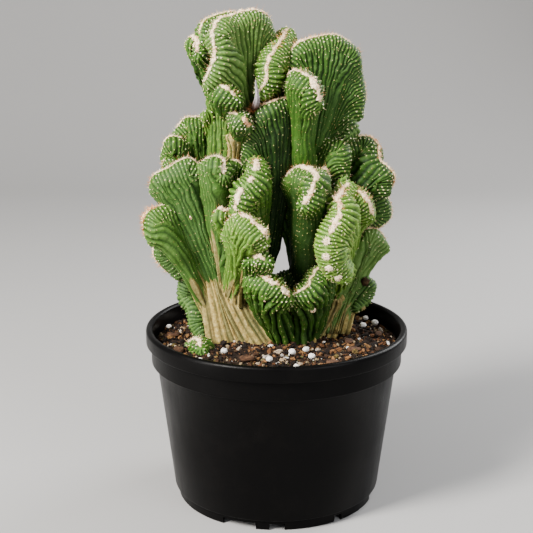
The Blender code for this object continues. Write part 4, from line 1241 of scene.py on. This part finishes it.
def add_areoles(lobes, skin, draw):
    """A small woolly cushion at every knob: large and pale near the crest, tiny and tan far from it."""
    found = [areole_places(grown) for grown in lobes]
    places, normals, distance, cork, share = (np.concatenate(parts) for parts in zip(*found))
    wanted = share * (1 - 0.15 * smooth_step(distance / 20.0))
    keep = outside_only(places, normals, skin) & (draw.random(len(places)) < wanted)
    places, normals, distance, cork = places[keep], normals[keep], distance[keep], cork[keep]
    young = np.exp(-distance / 6.0)
    size = (0.42 + 0.14 * young) * draw.uniform(0.7, 1.3, len(places)) * (1 - 0.35 * cork)
    sizes = np.stack([size, size * draw.uniform(0.8, 1.0, len(places)), size * 0.80], axis=-1)
    tint = np.clip(0.22 + 0.78 * young + draw.normal(scale=0.13, size=len(places)) - 0.15 * cork, 0, 1)
    axes = frames_along(normals, draw)
    heap = Heap()
    for sides, mine in ((5, distance < YOUNG_AREOLES), (3, distance >= YOUNG_AREOLES)):
        feet = places[mine] - normals[mine] * 0.15
        heap.scatter(cone_template(sides), feet, axes[mine], sizes[mine], tint[mine])
    heap.build("areole_wool", areole_material(), *PLANT)
    return places, normals, distance


def add_spines(name, heap):
    heap.build(name, spine_material(), *PLANT, smooth=False)


def areole_spines(places, normals, distance, draw):
    """One short pale spine at each young areole."""
    young = distance < SPINY_AREOLES
    places, normals, distance = places[young], normals[young], distance[young]
    lean = surface_lean(normals, draw, 0.55)
    length = draw.uniform(0.8, 2.0, len(places)) * (0.7 + 0.6 * np.exp(-distance / 8.0))
    tints = draw.uniform(0.7, 1.0, len(places))
    heap = Heap()
    heap.cones(places, frames_along(lean, draw), length, 0.07, tints)
    return heap


def crest_line(grown, first, last, gap):
    """Points along a stretch of a crest, with the directions up and across at each."""
    crest, rise = grown["crest"], grown["rise"]
    length = np.linalg.norm(np.diff(crest, axis=0), axis=1).sum() * (last - first)
    t = np.linspace(first, last, max(4, round(length / gap)))
    source = np.linspace(0, 1, len(crest))
    line = read_along(crest, source, t)
    up = unit(read_along(rise, source, t))
    return line, up, unit(np.cross(unit(np.gradient(line, axis=0)), up))


def wool_ridge(line, up, across, wide, draw):
    """A low, lumpy, closed ridge of matted wool along a crest."""
    rings = tube_rings(line, across, up, wide[:, None], RIDGE_SIDES, 0.5)
    rings += unit(rings - line[:, None]) * (0.18 * draw.normal(size=rings.shape[:2]))[:, :, None]
    faces = ring_quads(len(line) - 1, RIDGE_SIDES, backwards=True)
    faces.append(list(range(RIDGE_SIDES)))
    faces.append([(len(line) - 1) * RIDGE_SIDES + j for j in reversed(range(RIDGE_SIDES))])
    return rings.reshape(-1, 3), faces


def matted_stretch(grown, stretch, heap, draw):
    """A ridge of wool whose width wanders, with tufts on and beside it, brown specks and loose fibres."""
    first, last, factor, brown = stretch
    line, up, across = crest_line(grown, first, last, 0.75)
    count = len(line)
    taper = np.sqrt(np.clip(1 - (2 * np.linspace(0, 1, count) - 1) ** 6, 0.08, 1))
    wide = 1.05 * factor * taper * np.clip(1 + layered(line, WOOL_WIDTH), 0.35, 1.7)
    line = line + across * (0.6 * waves(line, 5.0, 64))[:, None]
    warm = 0.60 - brown + 0.12 * waves(line, 6.0, 63)
    points, faces = wool_ridge(line, up, across, wide, draw)
    heap.add(points, faces, np.repeat(warm, RIDGE_SIDES) + draw.normal(0, 0.09, len(points)))
    ball = rough_ball(1, 19, 0.16)
    for _ in range(TUFT_ROUNDS):
        chosen = draw.random(count) < 0.45
        offset = draw.uniform(-1.5, 1.5, count) * wide
        lift = 0.40 * wide * np.sqrt(np.clip(1 - (offset / (1.6 * wide)) ** 2, 0, 1))
        places = (line + across * offset[:, None] + up * lift[:, None])[chosen]
        size = draw.uniform(0.24, 0.62, count) * np.minimum(wide, 1.3)
        sizes = np.stack([size, size * 0.8, size * 0.7], axis=-1)[chosen]
        axes = frames_along(up[chosen], draw)
        heap.scatter(ball, places, axes, sizes, warm[chosen] + draw.normal(0.03, 0.20, chosen.sum()))
    speck = draw.random(count) < 0.14
    places = line + across * (draw.uniform(-0.8, 0.8, count) * wide)[:, None] + up * (0.55 * wide)[:, None]
    sizes = draw.uniform(0.30, 0.55, (count, 1)) * np.array([1.0, 0.9, 0.7])
    axes = frames_along(up[speck], draw)
    heap.scatter(ball, places[speck], axes, sizes[speck], draw.uniform(0.0, 0.28, speck.sum()))
    for _ in range(TUFT_ROUNDS):
        offset = draw.uniform(-1.2, 1.2, count) * wide
        sideways = across * (offset / wide)[:, None] * 0.9
        direction = unit(up + sideways + draw.normal(scale=0.45, size=up.shape))
        places = line + across * offset[:, None]
        length = draw.uniform(0.8, 2.1, count)
        axes = frames_along(direction, draw)
        heap.cones(places, axes, length, 0.10, draw.normal(0.72 - brown, 0.15, count))
    return line, up, across


def starry_tufts(grown, heap, draw):
    """Separate starry tufts of wool along a crest: a matted middle with short arms all round."""
    line, up, across = crest_line(grown, 0.0, 1.0, 0.5)
    ball = rough_ball(1, 17, 0.16)
    count = STAR_BALLS
    for spot in TUFTS[grown["name"]]:
        middle = min(len(line) - 1, round(spot * (len(line) - 1)))
        along = np.cross(across[middle], up[middle])
        turn = draw.uniform(0, 2 * math.pi, count)
        spread = 1.9 * np.sqrt(draw.random(count))
        flat = across[middle] * (spread * np.cos(turn))[:, None] + along * (spread * np.sin(turn))[:, None]
        places = line[middle] + flat + up[middle] * (0.7 - 0.16 * spread**2)[:, None]
        size = draw.uniform(0.45, 0.85, count)
        sizes = np.stack([size, size * 0.85, size * 0.7], axis=-1)
        axes = frames_along(np.tile(up[middle], (count, 1)), draw)
        heap.scatter(ball, places, axes, sizes, draw.normal(0.70, 0.12, count))
        lean = unit(flat / 1.5 + up[middle] * 0.8 + draw.normal(scale=0.25, size=flat.shape))
        length = draw.uniform(1.0, 2.0, count)
        heap.cones(places, frames_along(lean, draw), length, 0.14, draw.normal(0.78, 0.15, count))


def add_wool(lobes, draw):
    """All crests: matted ridges in stretches, or separate tufts."""
    heap = Heap()
    lines = []
    for grown in lobes:
        name = grown["name"]
        if name in TUFTS:
            starry_tufts(grown, heap, draw)
        if name not in BARE_CRESTS:
            for stretch in WOOL.get(name, PLAIN_WOOL):
                lines.append(matted_stretch(grown, stretch, heap, draw))
    heap.build("crest_wool", wool_material(), *PLANT)
    return (np.concatenate(parts) for parts in zip(*lines))


def crest_spines(line, up, across, draw):
    """Sparse orange and brown spines that stand out of the crests."""
    chosen = draw.random(len(line)) < 0.50
    line, up, across = line[chosen], up[chosen], across[chosen]
    side = draw.uniform(-1.3, 1.3, len(line))[:, None]
    direction = unit(up + across * side * 0.6 + draw.normal(scale=0.35, size=up.shape))
    length = draw.uniform(1.8, 4.6, len(line))
    places = line + across * side * 1.2 + up * 0.2
    tints = draw.uniform(0.0, 0.75, len(line))
    heap = Heap()
    heap.cones(places, frames_along(direction, draw), length, 0.085, tints)
    return heap


def orange_spines(lobes, draw):
    """Tangles of orange spines on the outer sides of a few crests."""
    heap = Heap()
    for grown in lobes:
        if grown["name"] in SPINY:
            first, last, count = SPINY[grown["name"]]
            line, up, across = crest_line(grown, first, last, 0.4)
            at = draw.integers(0, len(line), count)
            side = draw.uniform(-1.2, 1.2, count)[:, None]
            places = line[at] + across[at] * side * 1.6 - up[at] * 0.2
            direction = unit(up[at] * 0.8 + across[at] * side + draw.normal(scale=0.45, size=places.shape))
            tints = draw.uniform(0.15, 0.50, count)
            length = draw.uniform(1.5, 4.2, count)
            heap.cones(places, frames_along(direction, draw), length, 0.17, tints)
    return heap


def mark_place(grown, share, drop):
    """Point and direction on a lobe's forward face, at a share along its crest and a distance below it."""
    columns = int(grown["at"].max())
    around = np.flatnonzero(grown["at"] == round(share * columns))
    levels = np.abs(grown["from_crest"][:, around] - drop).argmin(axis=0)
    outward = grown["outward"][levels, around]
    forward = outward[:, 1].argmin()
    return grown["points"][levels[forward], around[forward]][None], outward[forward][None]


def add_marks(lobes):
    """Single woolly cushions and scabs on the skin."""
    heap = Heap()
    by_name = {grown["name"]: grown for grown in lobes}
    draw = np.random.default_rng(23)
    ball = rough_ball(2, 29, 0.10)
    small = rough_ball(1, 31, 0.12)
    for name, share, drop, radius, tint, middle in MARKS:
        centre, up = mark_place(by_name[name], share, drop)
        axes = frames_along(up, draw)
        size = np.array([[radius, radius * 0.9, radius * 0.45]])
        heap.scatter(ball, centre, axes, size, tint + draw.normal(0, 0.10, len(ball[0])))
        if middle:
            size = np.array([[middle, middle * 0.9, middle * 0.4]])
            heap.scatter(small, centre + up * radius * 0.30, axes, size, [0.10])
    heap.build("skin_marks", wool_material(), *PLANT)


def add_hollow(lobes):
    """A flat lump of dead brown skin at the edge of a low lobe, nearly black as painted shade so that it
    looks like a hollow.
    """
    name, share, drop, radius = HOLLOW
    centre, up = mark_place(next(grown for grown in lobes if grown["name"] == name), share, drop)
    axes = frames_along(up, np.random.default_rng(37))
    size = np.array([[radius, radius * 1.1, radius * 0.45]])
    points, faces = copies(*rough_ball(2, 37, 0.14), centre, axes, size)
    dress(mesh_object("dead_skin_painted_hollow", points, faces, dead_skin_and_hollow_shade_material()), *PLANT)


def add_plant():
    lobes = [grow_lobe(shape, index) for index, shape in enumerate(LOBES)]
    skin = skin_tree(lobes)
    surface = flesh_material()
    for grown in lobes:
        build_lobe(grown, skin, surface)
    draw = np.random.default_rng(7)
    places, normals, distance = add_areoles(lobes, skin, draw)
    line, up, across = add_wool(lobes, draw)
    add_spines("areole_spines", areole_spines(places, normals, distance, draw))
    add_spines("crest_spines", crest_spines(line, up, across, draw))
    add_spines("orange_spines", orange_spines(lobes, draw))
    add_marks(lobes)
    add_hollow(lobes)


# ---------------------------------------------------------------- soil


# The soil's dome over its rim, in millimetres; the bed lies a little lower, and the chips on it
SOIL_EDGE = 95.0
SOIL_RISE = 2.6
SOIL_RADIUS = 72.6
DOME_RADIUS = 74.6
BED_DROP = 1.2
BED_FLOOR = 86.0
GRAIN_SINK = 0.9
BED_RINGS = 44
BED_SIDES = 170
CHIP_KINDS = 6


def soil_height(radius):
    return SOIL_EDGE + SOIL_RISE * (1 - (radius / DOME_RADIUS) ** 2)


def add_soil_bed():
    """The bed of the soil: a disc with an uneven top, closed below."""
    radius = SOIL_RADIUS * np.sqrt(np.linspace(0.0004, 1, BED_RINGS))
    angle = np.linspace(0, 2 * math.pi, BED_SIDES, endpoint=False)
    x = radius[:, None] * np.cos(angle)
    y = radius[:, None] * np.sin(angle)
    flat = np.stack([x, y, np.zeros_like(x)], axis=-1)
    z = soil_height(radius)[:, None] + layered(flat, SOIL_BUMPS) - BED_DROP
    top = np.stack([x, y, z], axis=-1).reshape(-1, 3)
    bottom = np.stack([x[-1] * 0.98, y[-1] * 0.98, np.full(BED_SIDES, BED_FLOOR)], axis=-1)
    points = np.vstack([top, bottom, [[0, 0, z[0].mean()]], [[0, 0, BED_FLOOR]]])
    faces = ring_quads(BED_RINGS, BED_SIDES, backwards=True)
    faces += fan(len(points) - 2, BED_SIDES)
    faces += fan(len(points) - 1, BED_SIDES, BED_RINGS * BED_SIDES, backwards=True)
    dress(mesh_object("soil_bed", points, faces, peat_material()), *SOIL)


def grit_places(count, draw, low, high):
    angle = draw.uniform(0, 2 * math.pi, count)
    radius = SOIL_RADIUS * np.sqrt(draw.uniform(low, high, count))
    return np.stack([radius * np.cos(angle), radius * np.sin(angle), np.zeros(count)], axis=-1)


def add_grit(surface, name, count, size_range, tints, flatness, seed):
    """Many chips of one size class, tumbled on the bed."""
    draw = np.random.default_rng(seed)
    places = grit_places(count, draw, 0.0, 0.96)
    size = draw.uniform(*size_range, count) * draw.uniform(0.7, 1.0, count)
    radius = np.linalg.norm(places[:, :2], axis=1)
    inside = radius + size * 0.5 < SOIL_RADIUS + 0.3
    sunk = size * draw.uniform(0.02, 0.32, count)
    places[:, 2] = soil_height(radius) + layered(places, SOIL_BUMPS) - BED_DROP + sunk
    places, size = places[inside], size[inside]
    up = unit(np.array([0, 0, 1.0]) + draw.normal(scale=0.45, size=places.shape))
    axes = frames_along(up, draw)
    heap = Heap()
    for kind in range(CHIP_KINDS):
        mine = np.arange(len(places)) % CHIP_KINDS == kind
        chip = rough_ball(1 if size_range[1] < 5.0 else 2, seed * 10 + kind, 0.20)
        long = draw.uniform(0.7, 1.25, mine.sum())
        sizes = np.stack([size[mine] * long, size[mine] * 0.62, size[mine] * flatness], axis=-1) * 0.5
        shades = draw.choice(tints, mine.sum()) + draw.normal(scale=0.025, size=mine.sum())
        heap.scatter(chip, places[mine], axes[mine], sizes, shades)
    heap.build(name, surface, *SOIL, smooth=False)


def add_loose_grains():
    """Detailed grains in the places of the CAD ones."""
    perlite = perlite_material()
    bark = bark_material()
    for node in sorted(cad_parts):
        white = node.startswith("perlite_")
        if not white and not node.startswith("bark_chip_"):
            continue
        low, high = (np.array(corner[:]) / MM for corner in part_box(node))
        seed = sum(ord(letter) for letter in node)
        template, faces = ball_template(3)
        shape = template * (1 + layered(template, GRAIN_LUMPS, seed))[:, None]
        turn = (seed % 7) * 0.25 - 0.75
        if not white:
            shape = np.sign(shape) * np.abs(shape) ** 0.6
            shape[:, 1] *= 1 - 0.25 * shape[:, 0]
            turn = 0.0
        shape = shape / np.abs(shape).max(0)
        cosine, sine = math.cos(turn), math.sin(turn)
        spin = np.array([[cosine, sine, 0], [-sine, cosine, 0], [0, 0, 1]])
        points = (low + high) / 2 + (shape * ((high - low) / 2)) @ spin
        points[:, 2] -= GRAIN_SINK
        obj = mesh_object("grain_" + node, points, faces, perlite if white else bark)
        dress(obj, "perlite" if white else "bark", node)


def add_soil():
    add_soil_bed()
    dark = (0.02, 0.10, 0.22, 0.30, 0.38, 0.46, 0.54, 0.60, 0.66)
    mixed = (0.02, 0.12, 0.20, 0.30, 0.42, 0.55, 0.66, 0.70, 0.76, 0.76, 0.90)
    stone = (0.66, 0.76, 0.76, 0.90, 0.90, 0.97)
    grit = grit_material()
    add_grit(grit, "soil_fine_grit", 2400, (0.7, 1.7), dark + (0.72, 0.76, 0.90, 0.97), 0.5, 41)
    add_grit(grit, "soil_peat_crumbs", 2200, (1.4, 3.2), dark, 0.55, 42)
    add_grit(grit, "soil_bark_bits", 900, (2.2, 5.2), mixed, 0.5, 43)
    add_grit(grit, "soil_stone_bits", 460, (1.8, 4.0), stone, 0.6, 44)
    add_grit(grit, "soil_moss_specks", 150, (1.2, 2.6), (0.84,), 0.5, 45)
    add_loose_grains()


# ---------------------------------------------------------------- pot


# Radii, heights and walls in millimetres; gaps of the foot ring by their middle and width in degrees
RIM_RADIUS = 77.5
POT_HEIGHT = 104.6
BASE_RADIUS = 61.8
SHOULDER_RADIUS = 71.2
SHOULDER_HEIGHT = 83.0
BAND_RADIUS = 74.6
WALL = 1.3
FOOT_HEIGHT = 6.0
FOOT_RADIUS = 59.8
FOOT_WALL = 2.2
LIP_HEIGHT = 9.0
POT_SIDES = 240
SHARP_ANGLE = math.radians(32)
FOOT_GAPS = ((-21, 19.5), (0.6, 8.2), (37, 5), (80, 20), (128, 18), (180, 20), (220, 8), (262, 20))


def arc(centre, radius, start, end, steps):
    """Points of an arc in the (radius, height) plane, angles in degrees."""
    angles = [math.radians(start + (end - start) * i / steps) for i in range(steps + 1)]
    return [(centre[0] + radius * math.cos(a), centre[1] + radius * math.sin(a)) for a in angles]


def pot_profile():
    """The CAD section with its corners rounded and a fine bead under the band."""
    floor_top = FOOT_HEIGHT + 1.8
    inner_base = BASE_RADIUS - WALL
    roll = (RIM_RADIUS - BAND_RADIUS) / 2 + WALL / 2
    roll_centre = (RIM_RADIUS - roll, POT_HEIGHT - roll)
    lip_bottom = POT_HEIGHT - LIP_HEIGHT
    return [
        (0.0, floor_top),
        (inner_base - 2.0, floor_top),
        (inner_base + 0.2, floor_top + 2.0),
        (SHOULDER_RADIUS - WALL, SHOULDER_HEIGHT + 8.0),
        (BAND_RADIUS - WALL - 0.3, SHOULDER_HEIGHT + 9.0),
        (BAND_RADIUS - WALL, SHOULDER_HEIGHT + 9.7),
        *arc(roll_centre, roll, 180, 0, 14),
        (RIM_RADIUS, lip_bottom + 4.0),
        *arc((RIM_RADIUS - 0.65, lip_bottom + 0.65), 0.65, 0, -180, 8),
        (RIM_RADIUS - WALL, POT_HEIGHT - 3.4),
        (BAND_RADIUS + 0.1, POT_HEIGHT - 3.4),
        (BAND_RADIUS - 0.1, lip_bottom - 2.0),
        (BAND_RADIUS - 0.2, SHOULDER_HEIGHT + 2.1),
        *arc((BAND_RADIUS - 0.9, SHOULDER_HEIGHT + 1.6), 0.7, 0, -80, 4),
        (SHOULDER_RADIUS + 0.35, SHOULDER_HEIGHT + 0.3),
        (SHOULDER_RADIUS, SHOULDER_HEIGHT - 0.2),
        ((SHOULDER_RADIUS + BASE_RADIUS) / 2, (SHOULDER_HEIGHT + FOOT_HEIGHT) / 2 + 0.3),
        (BASE_RADIUS + 0.1, FOOT_HEIGHT + 1.4),
        *arc((BASE_RADIUS - 0.5, FOOT_HEIGHT + 1.0), 0.5, 0, -90, 3),
        (FOOT_RADIUS, FOOT_HEIGHT),
        (FOOT_RADIUS - 0.3, 0.5),
        (FOOT_RADIUS - 0.7, 0.0),
        (FOOT_RADIUS - FOOT_WALL, 0.0),
        (FOOT_RADIUS - FOOT_WALL - 0.6, FOOT_HEIGHT),
        (0.0, FOOT_HEIGHT),
    ]


def lathe(profile, steps):
    """Points and faces of a closed turned body whose profile starts and ends on the axis."""
    angle = np.linspace(0, 2 * math.pi, steps, endpoint=False)
    inner = profile[1:-1]
    points = [(r * math.cos(a), r * math.sin(a), z) for r, z in inner for a in angle]
    points += [(0, 0, profile[0][1]), (0, 0, profile[-1][1])]
    faces = ring_quads(len(inner) - 1, steps, backwards=True)
    faces += fan(len(points) - 2, steps)
    faces += fan(len(points) - 1, steps, (len(inner) - 1) * steps, backwards=True)
    return np.array(points), faces


def block_cutter(name, size, place, turn):
    bm = bmesh.new()
    bmesh.ops.create_cube(bm, size=1.0)
    bmesh.ops.scale(bm, vec=[side * MM for side in size], verts=bm.verts)
    mesh = bpy.data.meshes.new(name)
    bm.to_mesh(mesh)
    bm.free()
    obj = bpy.data.objects.new(name, mesh)
    bpy.context.scene.collection.objects.link(obj)
    obj.location = [value * MM for value in place]
    obj.rotation_euler = (0, 0, turn)
    return obj


def cut_away(obj, cutters):
    """Cuts each cutter from the object, keeps the result as plain mesh and deletes the cutters."""
    for cutter in cutters:
        boolean = obj.modifiers.new(cutter.name, "BOOLEAN")
        boolean.operation = "DIFFERENCE"
        boolean.object = cutter
    bpy.context.view_layer.update()
    graph = bpy.context.evaluated_depsgraph_get()
    whole = bpy.data.meshes.new_from_object(obj.evaluated_get(graph))
    obj.modifiers.clear()
    obj.data = whole
    for cutter in cutters:
        bpy.data.objects.remove(cutter, do_unlink=True)


def add_pot():
    points, faces = lathe(pot_profile(), POT_SIDES)
    pot = mesh_object("pot_body", points, faces, plastic_material())
    cutters = []
    for centre, width in FOOT_GAPS:
        angle = math.radians(centre - 90)
        reach = FOOT_RADIUS - FOOT_WALL / 2
        size = (2 * FOOT_RADIUS * math.sin(math.radians(width / 2)), 16.0, 2 * (FOOT_HEIGHT - 2.0))
        place = (reach * math.cos(angle), reach * math.sin(angle), 0.0)
        cutters.append(block_cutter("foot_gap", size, place, math.radians(centre)))
    cut_away(pot, cutters)
    pot.data.shade_smooth()
    pot.data.set_sharp_from_angle(angle=SHARP_ANGLE)
    dress(pot, *POT)


# ---------------------------------------------------------------- dried flower


# Middle line of the dried flower and its radius there, in millimetres
FLOWER_PATH = (
    (-13.2, -10.0, 234.2, 1.3),
    (-11.6, -14.2, 237.2, 1.6),
    (-11.0, -17.0, 240.5, 1.5),
    (-11.0, -17.8, 244.0, 1.0),
    (-11.5, -18.2, 247.5, 0.7),
    (-11.7, -18.6, 250.5, 0.3),
)

FLOWER_RINGS = 40
FLOWER_SIDES = 20


def add_flower():
    """A shrivelled tube with lengthwise folds, closed by a point at each end."""
    draw = np.random.default_rng(5)
    known = np.array(FLOWER_PATH)
    line, _ = curve_through(known[:, :3], FLOWER_RINGS)
    share = np.linspace(0, 1, FLOWER_RINGS)
    radius = np.interp(share, np.linspace(0, 1, len(known)), known[:, 3])
    along = unit(np.gradient(line, axis=0))
    across = unit(np.cross(along, np.array([0.0, 1.0, 0.2])))
    angle = np.linspace(0, 2 * math.pi, FLOWER_SIDES, endpoint=False)
    folds = 1 + 0.22 * np.sin(5 * angle)[None, :] + 0.10 * draw.normal(size=(FLOWER_RINGS, FLOWER_SIDES))
    rings = tube_rings(line, across, np.cross(along, across), radius[:, None] * folds, FLOWER_SIDES)
    points = np.vstack([rings.reshape(-1, 3), line[:1], line[-1:] + along[-1:] * 0.8])
    faces = ring_quads(FLOWER_RINGS - 1, FLOWER_SIDES)
    faces += fan(len(points) - 2, FLOWER_SIDES, backwards=True)
    faces += fan(len(points) - 1, FLOWER_SIDES, (FLOWER_RINGS - 1) * FLOWER_SIDES)
    obj = mesh_object("dried_flower_tube", points, faces, papery_material())
    tint = np.concatenate([np.repeat(share, FLOWER_SIDES), [0.0, 1.0]])
    paint(obj, "tint", np.clip(tint * 1.6 + 0.05, 0, 1))
    dress(obj, *FLOWER)


def throat_spines():
    """Old red-brown spines packed into the cleft round the foot of the dried flower."""
    draw = np.random.default_rng(41)
    foot = np.array(FLOWER_PATH[0][:3])
    away = unit(draw.normal(size=(THROAT_SPINES, 3)) * (1.0, 0.7, 1.0) + np.array([0.0, -0.4, 0.1]))
    places = foot + away * draw.uniform(0.4, 2.2, THROAT_SPINES)[:, None]
    lengths = draw.uniform(1.4, 3.8, THROAT_SPINES)
    tints = draw.uniform(0.0, 0.24, THROAT_SPINES)
    heap = Heap()
    heap.cones(places, frames_along(away, draw), lengths, 0.17, tints)
    return heap


# ---------------------------------------------------------------- stage, light and camera


def add_stage():
    """A pale floor that bends up into a wall behind the pot."""
    half_width, bend_start, bend_radius, wall_height = 3.0 / MM, 0.9 / MM, 0.6 / MM, 3.0 / MM
    rows = [(-half_width, 0.0), *arc((bend_start, bend_radius), bend_radius, -90, 0, 16)]
    rows.append((bend_start + bend_radius, wall_height))
    points = [(x, y, z) for y, z in rows for x in (-half_width, half_width)]
    faces = [[2 * i, 2 * i + 1, 2 * i + 3, 2 * i + 2] for i in range(len(rows) - 1)]
    mesh_object("floor", np.array(points), faces, floor_material())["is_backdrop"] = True


# Soft lights: place in metres, power in watts, width and height in metres, and colour
LIGHTS = (
    ("key", (-0.80, -0.66, 0.95), 66.0, (0.30, 0.60), (1.0, 0.97, 0.92)),
    ("fill", (0.85, -0.85, 0.60), 11.0, (0.7, 0.9), (0.95, 0.97, 1.0)),
    ("strip", (-0.86, -0.50, 0.16), 7.0, (0.10, 0.60), (1.0, 0.97, 0.94)),
    ("rim", (0.70, 0.55, 0.70), 18.0, (0.5, 0.8), (1.0, 1.0, 1.0)),
)
LIGHTS_AIM = (0.0, 0.0, 0.17)


def add_light(name, place, energy, size, colour):
    """A rectangular soft light, size wide and high, aimed at the plant."""
    data = bpy.data.lights.new(name, "AREA")
    data.shape = "RECTANGLE"
    data.energy = energy
    data.size, data.size_y = size
    data.color = colour
    obj = bpy.data.objects.new(name, data)
    bpy.context.scene.collection.objects.link(obj)
    obj.location = place
    aim = Vector(LIGHTS_AIM) - Vector(place)
    obj.rotation_mode = "QUATERNION"
    obj.rotation_quaternion = aim.to_track_quat("-Z", "Y")


def add_lights():
    for light in LIGHTS:
        add_light(*light)
    world = bpy.data.worlds.new("studio")
    bpy.context.scene.world = world
    world.use_nodes = True
    background = world.node_tree.nodes["Background"]
    background.inputs["Color"].default_value = (0.82, 0.83, 0.85, 1.0)
    background.inputs["Strength"].default_value = 0.62


def add_camera():
    data = bpy.data.cameras.new("camera")
    data.sensor_width = SENSOR
    data.lens = FOCAL
    obj = bpy.data.objects.new("camera", data)
    bpy.context.scene.collection.objects.link(obj)
    obj.location = CAMERA_PLACE
    obj.rotation_euler = (math.pi / 2 - CAMERA_DOWN, 0.0, CAMERA_TURN)
    bpy.context.scene.camera = obj


add_camera()
add_stage()
add_lights()
add_pot()
add_soil()
add_plant()
add_flower()
add_spines("throat_spines", throat_spines())

meshes = [piece.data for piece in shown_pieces() if piece.type == "MESH"]
triangles = sum(len(face.vertices) - 2 for mesh in meshes for face in mesh.polygons)
print("visual triangles", triangles)
